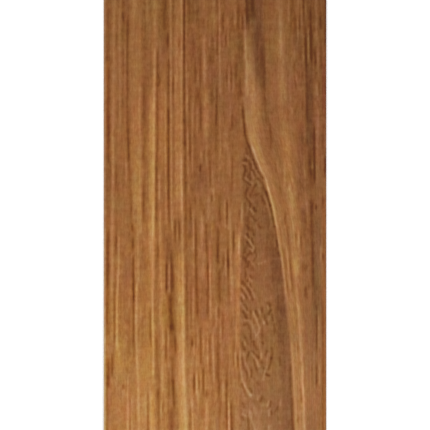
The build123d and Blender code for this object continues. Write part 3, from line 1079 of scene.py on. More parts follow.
    (5.2, 12, 4, 0, (330, 295.5), (360, 296.8), (400, 298.5), (430, 300)),
    (5, -7, 0, 0, (18, 297), (62, 297)),
    (4, 0, 4, -1, (10, 298), (84, 298)),
    (3.5, 0, 0, 4, (108, 298.5), (124, 300), (142, 306)),
    (3.4, 0, 0, 4, (42, 300), (80, 301)),
    (3, -7, 0, 0, (88, 300), (105, 299.5)),
    (3.6, -12, 3, 2, (118, 300), (206, 300)),
    (4.5, 0, 4, 0, (10, 301), (32, 302)),
    (2, 10, 0, 0, (316, 302), (333, 304)),
    (1.6, 0, 0, 4, (370, 302), (412, 303)),
    (2.6, -12, 3, 3, (200, 302.6), (230, 302.6)),
    (2, 0, -1, 4, (318, 305.5), (352, 305.8)),
    (8, 6, -3, 0, (372, 306), (420, 307)),
    (5, 0, 0, -3, (10, 307.5), (84, 307.5)),
    (8, 0, -4, 0, (364, 308), (388, 308)),
    (4, -14, 4, 0, (58, 308.3), (92, 308.8)),
    (3.6, -19, 6, 1, (78, 308.8), (140, 308.8), (158, 309.5)),
    (8, -5, 0, 0, (176, 310), (208, 308)),
    (6, -3, 4, 0, (300, 310), (430, 310.5)),
    (8, 5, 0, 0, (92, 312), (142, 320)),
    (13, -13, 4, 0, (0, 314), (430, 314)),
    (13, 6, -1, 0, (308, 314), (430, 314)),
    (5, 0, 0, 3, (378, 314), (422, 314)),
    (5, -2, 0, 3, (86, 315), (160, 315)),
    (5, 0, 0, 3, (210, 315), (268, 315)),
    (4.2, -8, 7, -2, (205, 316.3), (330, 316.3)),
    (6, 0, 3.5, 0, (326, 317), (366, 317)),
    (2, -12, 0, 0, (320, 319.8), (334, 319.8)),
    (2.4, -10, -2, 4, (54, 323.6), (118, 323.8)),
    (1.9, -6, -9, 1, (190, 323.8), (430, 323.6)),
    (2.2, -5, -2, 4, (42, 324), (152, 324)),
    (1.1, -12, 12, 0, (0, 325.8), (430, 325.8)),
)
CARRIED_SHADES = (
    (5.3, 24, 4, -1, (52, 249.5), (100, 249.5), (140, 248.3), (160, 245.8), (190, 245.6)),
    (4.6, 14, 0, 0, (72, 254), (100, 256), (140, 255)),
    (2.2, 6, -3, -4, (136, 248), (164, 247.5)),
    (3, 8, 0, 0, (124, 249), (152, 247.5)),
    (2, 0, -4, -1, (222, 242.5), (300, 242)),
    (5, 0, -2, -3.5, (184, 243.5), (230, 243.5)),
    (5, 10, -1, 0, (236, 236.5), (256, 236.5)),
    (6.2, -17, 3, 1, (222, 236), (430, 236.5)),
    (8, -7, 0, 0, (212, 231), (302, 231)),
    (11, -6, 0, -1, (292, 231), (368, 229)),
    (7, -5, 2, 0, (366, 226), (430, 224)),
)

# The curly wedge between the straight grain and the bend, and the faint strokes between its curls.
WEDGE_LEFT = 243.0
WEDGE_INSET = 1
WEDGE_STEP = 3.2
WEDGE_STEP_PLACE = 234
WEDGE_STEP_EASE = 3
WEDGE_EASE = 0.7
WEDGE_TOP = 141
WEDGE_TOP_EASE = 4
WEDGE_TONE = -10
STROKE_DEPTH = 5
STROKE_SLOPE = 0.6
STROKE_STRETCH = 2.2
STROKE_PITCH = 3.2
STROKE_SEED = 4
STROKE_STOP = 12
STROKE_STOP_EASE = 2

# How far the lines and the ground turn dull with their tone, and the wedge of itself.
LINE_DULL = 0.18
DARK_DULL = 0.26
LINE_RED = 0.045
GROUND_DULL = -0.10
GROUND_MIDDLE = 48
WEDGE_DULL = 5


def bend(down):
    """How far the bend has carried the grain: nothing above its start, then a reach of which the same share
    is left after each BEND_LENGTH, with a softened start."""
    run = BEND_EASE * np.log1p(np.exp((down - BEND_START) / BEND_EASE))
    return BEND_REACH * (1 - np.exp(-run / BEND_LENGTH))


def soft_step(value, ease):
    """0 well below nothing and 1 well above it, with a change about four eases wide."""
    return 1 / (1 + np.exp(-value / ease))


def eased(share):
    """A share from 0 to 1 with a soft start and a soft end: share^2 * (3 - 2 * share)."""
    return share**2 * (3 - 2 * share)


def line_strength(down, top, bottom, longest_fade):
    """1 along a line, falling smoothly to 0 at each end that is inside the frame."""
    fade = min(longest_fade, FADE_SHARE * (bottom - top))
    strength = np.ones_like(down)
    if top > 0:
        strength = strength * eased(np.clip((down - top) / fade, 0, 1))
    if bottom < FRAME_PIXELS:
        strength = strength * eased(np.clip((bottom - down) / fade, 0, 1))
    return strength


def course_middle(down, course, carried):
    """The middle of a line at each place down, straight from point to point, moved by the bend if carried."""
    places, middles = zip(*course)
    middle = np.interp(down, places, middles)
    return middle + bend(down) if carried else middle


def drawn_lines(across, down, lines, carried=False):
    """The sum of the lines, each depth * exp(-(distance / half-width)^2) round its middle."""
    total = np.zeros(np.broadcast(across, down).shape)
    for half_width, depth, *course in lines:
        distance = across - course_middle(down, course, carried)
        strength = depth * line_strength(down, course[0][0], course[-1][0], LINE_FADE)
        total += strength * np.exp(-((distance / half_width) ** 2))
    return total


def drawn_shades(across, down, shades, carried=False):
    """(tone, dull, red) summed over the shades, each flat-topped: exp(-(distance / half-width)^4)."""
    total = np.zeros((3, *np.broadcast(across, down).shape))
    for half_width, tone, dull, red, *course in shades:
        distance = across - course_middle(down, course, carried)
        fade = np.clip(SHADE_FADE_SHARE * half_width, *SHADE_FADES)
        strength = line_strength(down, course[0][0], course[-1][0], fade)
        section = strength * np.exp(-((distance / half_width) ** 4))
        total += np.array((tone, dull, red))[:, None, None] * section
    return total


def drawn_curls(across, down, curls):
    """The sum of the curls, each depth * exp(-(distance / half-width)^2) round the nearest place on its
    straight pieces."""
    total = np.zeros(np.broadcast(across, down).shape)
    for half_width, depth, *course in curls:
        nearest = np.full(total.shape, np.inf)
        for (down_start, across_start), (down_end, across_end) in zip(course, course[1:]):
            run_down = down_end - down_start
            run_across = across_end - across_start
            share = (down - down_start) * run_down + (across - across_start) * run_across
            share = np.clip(share / (run_down**2 + run_across**2), 0, 1)
            gap_down = down - down_start - share * run_down
            gap_across = across - across_start - share * run_across
            nearest = np.minimum(nearest, gap_down**2 + gap_across**2)
        total += depth * np.exp(-nearest / half_width**2)
    return total


def soft_noise(across, down, pitch, seed):
    """Smooth noise from -1 to 1: seeded random values on a square lattice of that pitch, with an eased
    blend between the four values round a place. The lattice repeats."""
    count = int(FRAME_PIXELS / pitch)
    lattice = np.random.default_rng(seed).uniform(-1, 1, (count, count))
    row = np.floor(down / pitch).astype(int)
    column = np.floor(across / pitch).astype(int)
    share_down = eased(down / pitch - row)
    share_across = eased(across / pitch - column)
    row, next_row = row % count, (row + 1) % count
    column, next_column = column % count, (column + 1) % count
    upper = lattice[row, column] * (1 - share_across) + lattice[row, next_column] * share_across
    lower = lattice[next_row, column] * (1 - share_across) + lattice[next_row, next_column] * share_across
    return upper * (1 - share_down) + lower * share_down


def wedge_inside(across, down):
    """1 in the curly wedge and 0 outside it, with soft sides."""
    left = WEDGE_LEFT - WEDGE_STEP * soft_step(down - WEDGE_STEP_PLACE, WEDGE_STEP_EASE)
    right = BEND_LINE + bend(down) - WEDGE_INSET
    inside = soft_step(across - left, WEDGE_EASE) * soft_step(right - across, WEDGE_EASE)
    return inside * soft_step(down - WEDGE_TOP, WEDGE_TOP_EASE)


def wedge_strokes(across, down):
    """Short strokes that run steeply down to the right: soft noise on a slanted, stretched lattice, which
    stops short of the bend."""
    slant = across - STROKE_SLOPE * down
    strokes = soft_noise(slant, down / STROKE_STRETCH, STROKE_PITCH, STROKE_SEED)
    reach = soft_step(BEND_LINE + bend(down) - STROKE_STOP - across, STROKE_STOP_EASE)
    return STROKE_DEPTH * reach * strokes


def straight_place(across, down):
    """The place across with the bend taken out of the grain on its right: all of it at the bend, less and
    less towards the right edge, and none on its left."""
    right_edge = MIDDLE_PIXEL + SHEET_PIXELS / 2
    bend_side = BEND_LINE + bend(down)
    share = np.clip((right_edge - across) / (right_edge - bend_side), 0, 1)
    return np.where(across > bend_side, across - share * bend(down), across)


def grain_figure(across, down):
    """(tone, dull, red, pressed): the ground, the shades, the lines and the strokes added up, and the lines
    and strokes alone as pressed."""
    down = np.clip(down, 0, FRAME_PIXELS)
    inside = wedge_inside(across, down)
    pressed = drawn_lines(across, down, LEFT_LINES + MIDDLE_LINES + RIGHT_LINES)
    pressed += drawn_lines(across, down, CARRIED_LINES, carried=True)
    pressed = LINE_GAIN * pressed + CURL_GAIN * drawn_curls(across, down, CURLS)
    pressed = pressed + inside * wedge_strokes(across, down)
    shades = drawn_shades(across, down, SHADES) + drawn_shades(across, down, CARRIED_SHADES, carried=True)
    shade_tone, shade_dull, shade_red = shades
    ground = HEAD_TONE + (FOOT_TONE - HEAD_TONE) * down / FRAME_PIXELS + WEDGE_TONE * inside + shade_tone
    dull = np.where(pressed < 0, DARK_DULL, LINE_DULL) * pressed + GROUND_DULL * (ground - GROUND_MIDDLE)
    dull = dull + WEDGE_DULL * inside + shade_dull
    return ground + pressed, dull, LINE_RED * pressed + shade_red, pressed


# The size of the figure's pixels in metres.
PIXEL = (SHEET_HIGH.x - SHEET_LOW.x) / SHEET_PIXELS

# What the mesh stores on its points: the figure, as a share of the tones from low to high and in hue units,
# and the course of the grain.
FIGURE_NAME = "grain_figure"
COURSE_NAME = "grain_course"
TONE_LOW = -20
TONE_HIGH = 140
HUE_UNIT = 10

# The sheet's mesh. The relief is full where a line is PRESSED_FULL tones dark, and starts inside the edge.
ARRIS_STEPS = 4
ARRIS_SUPPORT = 0.0006
CELLS_ACROSS = 288
CELLS_ALONG = 308
SHARP_ANGLE = np.radians(35)
PRESSED_FULL = 45
PRESSED_EDGE = 0.006
FACE_SLOT, EDGE_SLOT, BACK_SLOT = range(3)

# The sheet's flat map, as shares of its width: the face, the back and the four edges side by side.
MAP_NAME = "OFBake"
MAP_FACE = (0.005, 0.735)
MAP_BACK = (0.750, 0.180)
MAP_EDGE_START = 0.940
MAP_EDGE_STEP = 0.015
MAP_EDGE_WIDTH = 0.011


# The standard curve of screen values: straight up to a join, and then a power.
SCREEN_TOP = 255
SCREEN_JOIN = 0.04045
SCREEN_SLOPE = 12.92
SCREEN_SHIFT = 0.055
SCREEN_POWER = 2.4


def srgb(red, green, blue):
    """A colour written as 0 to 255 screen values, as the linear values that Blender's colours hold."""
    screen = np.array((red, green, blue)) / SCREEN_TOP
    curved = ((screen + SCREEN_SHIFT) / (1 + SCREEN_SHIFT)) ** SCREEN_POWER
    return tuple(np.where(screen <= SCREEN_JOIN, screen / SCREEN_SLOPE, curved).tolist())


def colour_setting(name, description, default):
    """A colour that a user can change."""
    return FloatVectorProperty(
        name=name, description=description, default=default, subtype="COLOR", size=3, min=0, max=1
    )


class WallPanelSheetSettings(bpy.types.PropertyGroup):
    """What a user would change on the sheet."""

    arris_radius: FloatProperty(
        name="Face arris", description="Radius of the rounded edge round the face", default=0.0006,
        min=0.0001, max=0.003, unit="LENGTH", precision=5
    )
    back_arris: FloatProperty(
        name="Back arris", description="Width of the small bevel round the back", default=0.0004,
        min=0.0001, max=0.003, unit="LENGTH", precision=5
    )
    relief: FloatProperty(
        name="Grain relief", description="How deep the darkest grain lines are pressed into the face",
        default=0.00012, min=0, max=0.0005, unit="LENGTH", precision=5
    )
    deep_grain: colour_setting("Deep grain", "The darkest grain lines", srgb(93, 43, 8))
    dark_grain: colour_setting("Dark grain", "The dark grain", srgb(123, 71, 27))
    ground: colour_setting("Ground", "The wood between the lines", srgb(154, 100, 52))
    light_grain: colour_setting("Light grain", "The light grain", srgb(179, 126, 72))
    pale_grain: colour_setting("Pale grain", "The palest golden lines", srgb(210, 165, 101))
    core: colour_setting("Core", "The composite where it is sawn", srgb(132, 98, 66))
    back: colour_setting("Back", "The pressed back", srgb(140, 112, 84))
    face_roughness: FloatProperty(
        name="Face roughness", description="How matt the face film is", default=0.46, min=0.1, max=1,
        subtype="FACTOR"
    )


class WallPanelStageSettings(bpy.types.PropertyGroup):
    """What a user would change on the stage."""

    floor: colour_setting("Floor", "The plain floor under the sheet", (0.88, 0.88, 0.88))
    lens: FloatProperty(
        name="Lens", description="Focal length of the camera, in millimetres", default=85, min=20, max=300
    )
    lamp_power: FloatProperty(
        name="Lamp power", description="Power of each softbox", default=108, min=0, unit="POWER"
    )
    fill: FloatProperty(
        name="Fill light", description="Strength of the even light from all round", default=0.45, min=0, max=2
    )


def grid_places(low, high, arris, cells):
    """Places from low to high: over each arris r * (1 - cos(angle)) from the end for even angles up to a
    quarter turn, then even cells between two close support rows."""
    angles = np.linspace(0, np.pi / 2, ARRIS_STEPS + 1)
    ends = arris * (1 - np.cos(angles))
    inset = arris + ARRIS_SUPPORT
    between = np.linspace(low + inset, high - inset, cells + 1)
    return np.concatenate([low + ends, between, (high - ends)[::-1]])


def arris_height(inset, radius):
    """Height over a rounded arris above its start: a quarter circle of the radius, then level."""
    return np.sqrt(radius**2 - (radius - np.minimum(inset, radius)) ** 2)


def edge_distance(places, low, high):
    """Distance of each place from the nearer end."""
    return np.minimum(places - low, high - places)


def sheet_face(settings):
    """(points, tone, dull, red, course) of the wood-grain face on a grid. Its height is the lower of the two
    arris heights, from the side and from the end, less the relief of the dark lines, which fades out at the
    edges. The course is the place across the grain with the bend taken out, and the place along it."""
    radius = settings.arris_radius
    x = grid_places(SHEET_LOW.x, SHEET_HIGH.x, radius, CELLS_ACROSS)[None, :]
    y = grid_places(SHEET_LOW.y, SHEET_HIGH.y, radius, CELLS_ALONG)[:, None]
    across = MIDDLE_PIXEL + x / PIXEL
    down = MIDDLE_PIXEL - y / PIXEL
    tone, dull, red, pressed = grain_figure(across, down)
    inset_x = edge_distance(x, SHEET_LOW.x, SHEET_HIGH.x)
    inset_y = edge_distance(y, SHEET_LOW.y, SHEET_HIGH.y)
    height = np.minimum(arris_height(inset_x, radius), arris_height(inset_y, radius))
    fade = np.clip((np.minimum(inset_x, inset_y) - radius) / PRESSED_EDGE, 0, 1)
    relief = settings.relief * fade * np.clip(-pressed / PRESSED_FULL, 0, 1)
    z = SHEET_HIGH.z - radius + height - relief
    points = np.stack(np.broadcast_arrays(x, y, z), -1)
    course = np.stack(np.broadcast_arrays(PIXEL * straight_place(across, down), y, 0 * z), -1)
    return points, tone, dull, red, course


def perimeter(rows, columns):
    """Grid indexes once round the border of a grid, anticlockwise from above, starting at its first point."""
    index = np.arange(rows * columns).reshape(rows, columns)
    return np.concatenate([index[0, :-1], index[:-1, -1], index[-1, :0:-1], index[:0:-1, 0]])


def sheet_shell(points, settings):
    """(vertices, face grid, edge strips, back) of the closed sheet: the face grid, then its border dropped
    to the back arris, then the same border on the floor drawn in by that arris, closed by one flat back."""
    rows, columns = points.shape[:2]
    index = np.arange(rows * columns).reshape(rows, columns)
    quads = np.stack([index[:-1, :-1], index[:-1, 1:], index[1:, 1:], index[1:, :-1]], -1).reshape(-1, 4)
    border = perimeter(rows, columns)
    count = len(border)
    flat = points.reshape(-1, 3)
    wall = flat[border].copy()
    wall[:, 2] = SHEET_LOW.z + settings.back_arris
    size = np.array(SHEET_HIGH - SHEET_LOW)[:2]
    foot = wall.copy()
    foot[:, :2] *= 1 - 2 * settings.back_arris / size
    foot[:, 2] = SHEET_LOW.z
    wall_index = len(flat) + np.arange(count)
    foot_index = wall_index + count
    strips = []
    for low, high in ((wall_index, border), (foot_index, wall_index)):
        strips.append(np.stack([low, np.roll(low, -1), np.roll(high, -1), high], -1))
    return np.concatenate([flat, wall, foot]), quads, np.concatenate(strips), foot_index[::-1]


def flat_map(vertices, loop_points, loop_faces, face_count, rows, columns):
    """The sheet's own map, a place for each face corner: the face and the back as seen from above, side by
    side, and each edge as a narrow upright strip, with its height across and its length up the strip."""
    size = np.array(SHEET_HIGH - SHEET_LOW)
    share = (vertices - np.array(SHEET_LOW)) / size
    share = share[loop_points]
    across, up = share[:, 0], share[:, 1]
    places = np.stack([MAP_FACE[0] + MAP_FACE[1] * across, up], -1)
    sides = np.repeat(np.arange(4), (columns - 1, rows - 1, columns - 1, rows - 1))
    edge_side = np.concatenate([sides, sides])
    strip = (loop_faces >= face_count) & (loop_faces < face_count + len(edge_side))
    side = edge_side[loop_faces[strip] - face_count]
    strip_start = MAP_EDGE_START + MAP_EDGE_STEP * side
    places[strip, 0] = strip_start + MAP_EDGE_WIDTH * share[strip, 2]
    places[strip, 1] = np.where(side % 2 == 0, across[strip], up[strip])
    back = loop_faces == face_count + len(edge_side)
    places[back, 0] = MAP_BACK[0] + MAP_BACK[1] * across[back]
    return places


def point_attribute(mesh, name, values):
    """Stores one vector for each point of the mesh."""
    layer = mesh.attributes.new(name, "FLOAT_VECTOR", "POINT")
    layer.data.foreach_set("vector", np.ascontiguousarray(values, np.float32).ravel())


def tone_place(tone):
    """Where a tone of the figure lies on the scale that the mesh stores."""
    return (tone - TONE_LOW) / (TONE_HIGH - TONE_LOW)


def sheet_mesh(name, settings):
    """The whole sheet as a mesh, with its grain figure and course on its points and its flat map."""
    points, tone, dull, red, course = sheet_face(settings)
    rows, columns = points.shape[:2]
    vertices, quads, strips, back = sheet_shell(points, settings)
    mesh = bpy.data.meshes.new(name)
    mesh.from_pydata(vertices.tolist(), [], quads.tolist() + strips.tolist() + [back.tolist()])
    slots = np.repeat((FACE_SLOT, EDGE_SLOT, BACK_SLOT), (len(quads), len(strips), 1))
    mesh.polygons.foreach_set("material_index", slots.astype(np.int32))
    mesh.polygons.foreach_set("use_smooth", np.ones(len(slots), bool))
    mesh.set_sharp_from_angle(angle=SHARP_ANGLE)
    figure = np.zeros((len(vertices), 3))
    figure[: rows * columns, 0] = tone_place(tone).ravel()
    figure[: rows * columns, 1] = dull.ravel() / HUE_UNIT
    figure[: rows * columns, 2] = red.ravel() / HUE_UNIT
    point_attribute(mesh, FIGURE_NAME, figure)
    courses = np.zeros((len(vertices), 3))
    courses[: rows * columns] = course.reshape(-1, 3)
    point_attribute(mesh, COURSE_NAME, courses)
    loop_points = np.empty(len(mesh.loops), np.int32)
    mesh.loops.foreach_get("vertex_index", loop_points)
    corners = np.empty(len(mesh.polygons), np.int32)
    mesh.polygons.foreach_get("loop_total", corners)
    loop_faces = np.repeat(np.arange(len(corners)), corners)
    places = flat_map(vertices, loop_points, loop_faces, len(quads), rows, columns)
    layer = mesh.uv_layers.new(name=MAP_NAME)
    layer.data.foreach_set("uv", places.astype(np.float32).ravel())
    return mesh


def add_node(tree, kind, inputs=None, **settings):
    """Adds a node with its settings, and joins each of its inputs to a socket or sets it to a value."""
    node = tree.nodes.new(kind)
    for name, value in settings.items():
        setattr(node, name, value)
    for name, value in (inputs or {}).items():
        if isinstance(value, bpy.types.NodeSocket):
            tree.links.new(value, node.inputs[name])
        else:
            node.inputs[name].default_value = value
    return node


def calculate(tree, operation, *values, clamp=False):
    """The result of a Math node on its values."""
    node = add_node(tree, "ShaderNodeMath", dict(enumerate(values)), operation=operation, use_clamp=clamp)
    return node.outputs[0]


def weigh_up(tree, start, sockets, weights):
    """start plus each named socket times its weight."""
    total = start
    for name, weight in weights.items():
        total = calculate(tree, "MULTIPLY_ADD", sockets[name], weight, total)
    return total


def new_group(name, inputs, outputs):
    """An empty shader group with named sockets: (tree, its inputs' node, its outputs' node). An input is
    (name, socket type, default)."""
    tree = bpy.data.node_groups.new(name, "ShaderNodeTree")
    for label, kind, default in inputs:
        socket = tree.interface.new_socket(name=label, in_out="INPUT", socket_type=kind)
        if default is not None:
            socket.default_value = default
    for label, kind in outputs:
        tree.interface.new_socket(name=label, in_out="OUTPUT", socket_type=kind)
    return tree, tree.nodes.new("NodeGroupInput"), tree.nodes.new("NodeGroupOutput")


# The groups' own values: how rough the fibres' noise is, which of its values become -1 and 1, and how sharp
# the edge of a pore is.
FIBRE_NOISE = {"Roughness": 0.55}
FIBRE_SPREAD = {"From Min": 0.25, "From Max": 0.75, "To Min": -1.0, "To Max": 1.0}
FIBRE_SOCKETS = ("Across", "Along", "Detail", "Seed")
PORE_NOISE = {"Detail": 0.0}
PORE_EDGE = 9.0
PORE_SOCKETS = ("Across", "Along", "Level", "Seed")

# How a hue step of 1 changes the red, green and blue of a colour, as shares.
DULL_SHARE = (-0.084, 0.004, 0.27)
RED_SHARE = (0.07, -0.165, 0.126)


def stretched_group(name, sockets, output):
    """A group with a course, some numbers and one output: (tree, its inputs' node, its outputs' node, the
    stretched place). That place is the course times Across and Along, which are cells to a metre, with Seed
    as its height, so that two seeds give unlike noise."""
    inputs = [("Course", "NodeSocketVector", None)]
    inputs += [(socket, "NodeSocketFloat", None) for socket in sockets]
    tree, given, result = new_group(name, inputs, ((output, "NodeSocketFloat"),))
    place = add_node(tree, "ShaderNodeSeparateXYZ", {0: given.outputs["Course"]})
    across = calculate(tree, "MULTIPLY", place.outputs[0], given.outputs["Across"])
    along = calculate(tree, "MULTIPLY", place.outputs[1], given.outputs["Along"])
    stretched = add_node(tree, "ShaderNodeCombineXYZ", {0: across, 1: along, 2: given.outputs["Seed"]})
    return tree, given, result, stretched.outputs[0]


def noise_at(tree, place, **inputs):
    """The value of noise with one cell to each unit of a place."""
    return add_node(tree, "ShaderNodeTexNoise", {"Vector": place, "Scale": 1.0, **inputs}).outputs[0]


def fibre_group():
    """Drawn fibres: noise stretched along the grain, about -1 to 1."""
    tree, given, result, place = stretched_group("Drawn fibres", FIBRE_SOCKETS, "Fibre")
    noise = noise_at(tree, place, Detail=given.outputs["Detail"], **FIBRE_NOISE)
    spread = add_node(tree, "ShaderNodeMapRange", {0: noise, **FIBRE_SPREAD})
    tree.links.new(spread.outputs[0], result.inputs["Fibre"])
    return tree


def pore_group():
    """Short pores: a mask of small ticks where noise stretched along the grain rises past a level."""
    tree, given, result, place = stretched_group("Short pores", PORE_SOCKETS, "Pore")
    past = calculate(tree, "SUBTRACT", noise_at(tree, place, **PORE_NOISE), given.outputs["Level"])
    mask = calculate(tree, "MULTIPLY", past, PORE_EDGE, clamp=True)
    tree.links.new(mask, result.inputs["Pore"])
    return tree


def hue_group():
    """Hue turn: a colour made greyer or more orange by Dull, and redder or more golden by Red."""
    tree, given, result = new_group(
        "Hue turn",
        (
            ("Color", "NodeSocketColor", None),
            ("Dull", "NodeSocketFloat", 0.0),
            ("Red", "NodeSocketFloat", 0.0),
        ),
        (("Color", "NodeSocketColor"),),
    )
    turned = given.outputs["Color"]
    for amount, share in ((given.outputs["Dull"], DULL_SHARE), (given.outputs["Red"], RED_SHARE)):
        tint = add_node(
            tree, "ShaderNodeVectorMath", {0: share, 1: amount, 2: (1.0, 1.0, 1.0)}, operation="MULTIPLY_ADD"
        )
        turned = add_node(
            tree, "ShaderNodeVectorMath", {0: turned, 1: tint.outputs[0]}, operation="MULTIPLY"
        ).outputs[0]
    tree.links.new(turned, result.inputs["Color"])
    return tree


def grouped(tree, group, **inputs):
    """The first output of a node group placed in a tree with its own values."""
    node = add_node(tree, "ShaderNodeGroup", inputs, node_tree=group)
    return node.outputs[0]


def placed_marks(tree, course, *groups):
    """{name: socket} of the marks on a course, from groups given as (group, sockets, {name: values})."""
    marks = {}
    for group, sockets, rows in groups:
        for name, values in rows.items():
            marks[name] = grouped(tree, group, Course=course, **dict(zip(sockets, values)))
    return marks


def new_material(name):
    """An empty node material: (material, tree, shader)."""
    material = bpy.data.materials.new(name)
    material.use_nodes = True
    tree = material.node_tree
    shader = tree.nodes["Principled BSDF"]
    return material, tree, shader


def ramp(tree, factor, stops):
    """A colour ramp on a factor, with stops as (place, colour)."""
    node = add_node(tree, "ShaderNodeValToRGB", {0: factor})
    elements = node.color_ramp.elements
    while len(elements) < len(stops):
        elements.new(0.5)
    for element, (place, colour) in zip(elements, stops):
        element.position = place
        element.color = (*colour, 1.0)
    return node.outputs[0]


def shade_ramp(tree, tone, colour, shades):
    """A ramp on a tone through the shades of one colour, as (place, times the colour)."""
    stops = [(place, np.minimum(times * np.array(colour), 1).tolist()) for place, times in shades]
    return ramp(tree, tone, stops)


def dress(tree, shader, colour, rough, gloss, height, bump):
    """Joins a finish to its shader: its colour, its roughness, its gloss, and the bump of its height."""
    tree.links.new(colour, shader.inputs["Base Color"])
    tree.links.new(rough, shader.inputs["Roughness"])
    shader.inputs["Specular IOR Level"].default_value = gloss
    node = add_node(tree, "ShaderNodeBump", {"Height": height, "Strength": bump, "Distance": BUMP_DEPTH})
    tree.links.new(node.outputs[0], shader.inputs["Normal"])


# Each finish has its fibres as (across, along, detail, seed) and its pores as (across, along, level, seed),
# with across and along in cells to a metre. Then come the weights of these marks in its tone, hue, roughness
# and height, its gloss and its bump. BUMP_DEPTH is in metres.
BUMP_DEPTH = 0.0002

FACE_FIBRES = {
    "streak": (52.0, 3.0, 2.0, 0.0),
    "thread": (64.0, 8.0, 2.0, 3.0),
    "fleck": (80.0, 40.0, 1.0, 13.0),
    "blotch": (26.0, 30.0, 1.0, 17.0),
    "hair": (900.0, 24.0, 2.0, 7.0),
    "grey": (20.0, 13.0, 1.0, 11.0),
    "blush": (14.0, 10.0, 1.0, 19.0),
}
FACE_PORES = {"pore": (260.0, 16.0, 0.64, 5.0), "tick": (800.0, 70.0, 0.6, 23.0)}
FACE_TONE = {
    "streak": 0.05,
    "thread": 0.055,
    "fleck": 0.045,
    "blotch": 0.05,
    "hair": 0.06,
    "pore": -0.05,
    "tick": -0.09,
}
FACE_DULL = {"fine": LINE_DULL * (TONE_HIGH - TONE_LOW) / HUE_UNIT, "grey": 0.36}
FACE_RED = {"blush": 0.34, "streak": 0.14}
FACE_COLOUR_TONES = (-15, 17, 54, 83, 125)
FACE_ROUGH = {"thread": 0.03, "pore": 0.12}
FACE_HEIGHT = {"hair": 0.25, "thread": 0.35, "pore": -0.9, "tick": -0.7}
FACE_GLOSS = 0.2
FACE_BUMP = 0.35

EDGE_FLECK = {"Scale": 900.0, "Detail": 2.0, "Roughness": 0.6}
EDGE_CELL = {"Scale": 1300.0}
EDGE_CELL_RADIUS = 0.22
EDGE_SAW_CELLS = (700.0, 700.0, 14.0)
EDGE_SAW = {"Detail": 1.0}
EDGE_TONE = {"fleck": 0.6, "saw": 0.4, "cell": -0.25}
EDGE_SHADES = ((0.2, 0.55), (0.5, 1.0), (0.8, 1.35))
EDGE_ROUGHNESS = 0.72
EDGE_ROUGH = {"fleck": 0.15}
EDGE_HEIGHT = {"saw": 0.6, "cell": -0.6, "fleck": 0.3}
EDGE_GLOSS = 0.3
EDGE_BUMP = 0.5

BACK_FIBRES = {"brush": (420.0, 3.0, 3.0, 2.0), "cloud": (9.0, 2.5, 3.0, 9.0)}
BACK_PORES = {"fleck": (500.0, 260.0, 0.66, 4.0)}
BACK_MIDDLE = 0.5
BACK_TONE = {"brush": 0.13, "cloud": 0.12, "fleck": -0.2}
BACK_SHADES = ((0.1, 0.6), (0.5, 1.0), (0.9, 1.3))
BACK_ROUGHNESS = 0.66
BACK_ROUGH = {"brush": 0.06, "fleck": 0.1}
BACK_HEIGHT = {"brush": 0.5, "fleck": -0.5}
BACK_GLOSS = 0.35
BACK_BUMP = 0.4


def face_material(settings, fibres, pores, hue):
    """Wood-grain film: the figure's tone with fibres and pores added, coloured by a ramp and turned in hue,
    satin, and pressed in along its pores."""
    material, tree, shader = new_material("Wood-grain film")
    figure = add_node(tree, "ShaderNodeAttribute", attribute_name=FIGURE_NAME).outputs["Vector"]
    tone, dull, red = add_node(tree, "ShaderNodeSeparateXYZ", {0: figure}).outputs
    course = add_node(tree, "ShaderNodeAttribute", attribute_name=COURSE_NAME).outputs["Vector"]
    marks = placed_marks(
        tree, course, (fibres, FIBRE_SOCKETS, FACE_FIBRES), (pores, PORE_SOCKETS, FACE_PORES)
    )
    marks["fine"] = weigh_up(tree, 0.0, marks, FACE_TONE)
    colours = (
        settings.deep_grain, settings.dark_grain, settings.ground, settings.light_grain, settings.pale_grain
    )
    stops = list(zip(map(tone_place, FACE_COLOUR_TONES), colours))
    colour = ramp(tree, calculate(tree, "ADD", tone, marks["fine"]), stops)
    dulled = weigh_up(tree, dull, marks, FACE_DULL)
    reddened = weigh_up(tree, red, marks, FACE_RED)
    turned = grouped(tree, hue, Color=colour, Dull=dulled, Red=reddened)
    rough = weigh_up(tree, settings.face_roughness, marks, FACE_ROUGH)
    height = weigh_up(tree, 0.0, marks, FACE_HEIGHT)
    dress(tree, shader, turned, rough, FACE_GLOSS, height, FACE_BUMP)
    return material


def edge_material(settings):
    """Sawn composite core: flecks and foam cells in brown composite, with upright saw marks."""
    material, tree, shader = new_material("Sawn composite core")
    place = add_node(tree, "ShaderNodeTexCoord").outputs["Object"]
    cell = add_node(tree, "ShaderNodeTexVoronoi", {"Vector": place, **EDGE_CELL}).outputs["Distance"]
    upright = add_node(tree, "ShaderNodeVectorMath", {0: place, 1: EDGE_SAW_CELLS}, operation="MULTIPLY")
    marks = {
        "fleck": noise_at(tree, place, **EDGE_FLECK),
        "cell": calculate(tree, "LESS_THAN", cell, EDGE_CELL_RADIUS),
        "saw": noise_at(tree, upright.outputs[0], **EDGE_SAW),
    }
    colour = shade_ramp(tree, weigh_up(tree, 0.0, marks, EDGE_TONE), settings.core, EDGE_SHADES)
    rough = weigh_up(tree, EDGE_ROUGHNESS, marks, EDGE_ROUGH)
    height = weigh_up(tree, 0.0, marks, EDGE_HEIGHT)
    dress(tree, shader, colour, rough, EDGE_GLOSS, height, EDGE_BUMP)
    return material


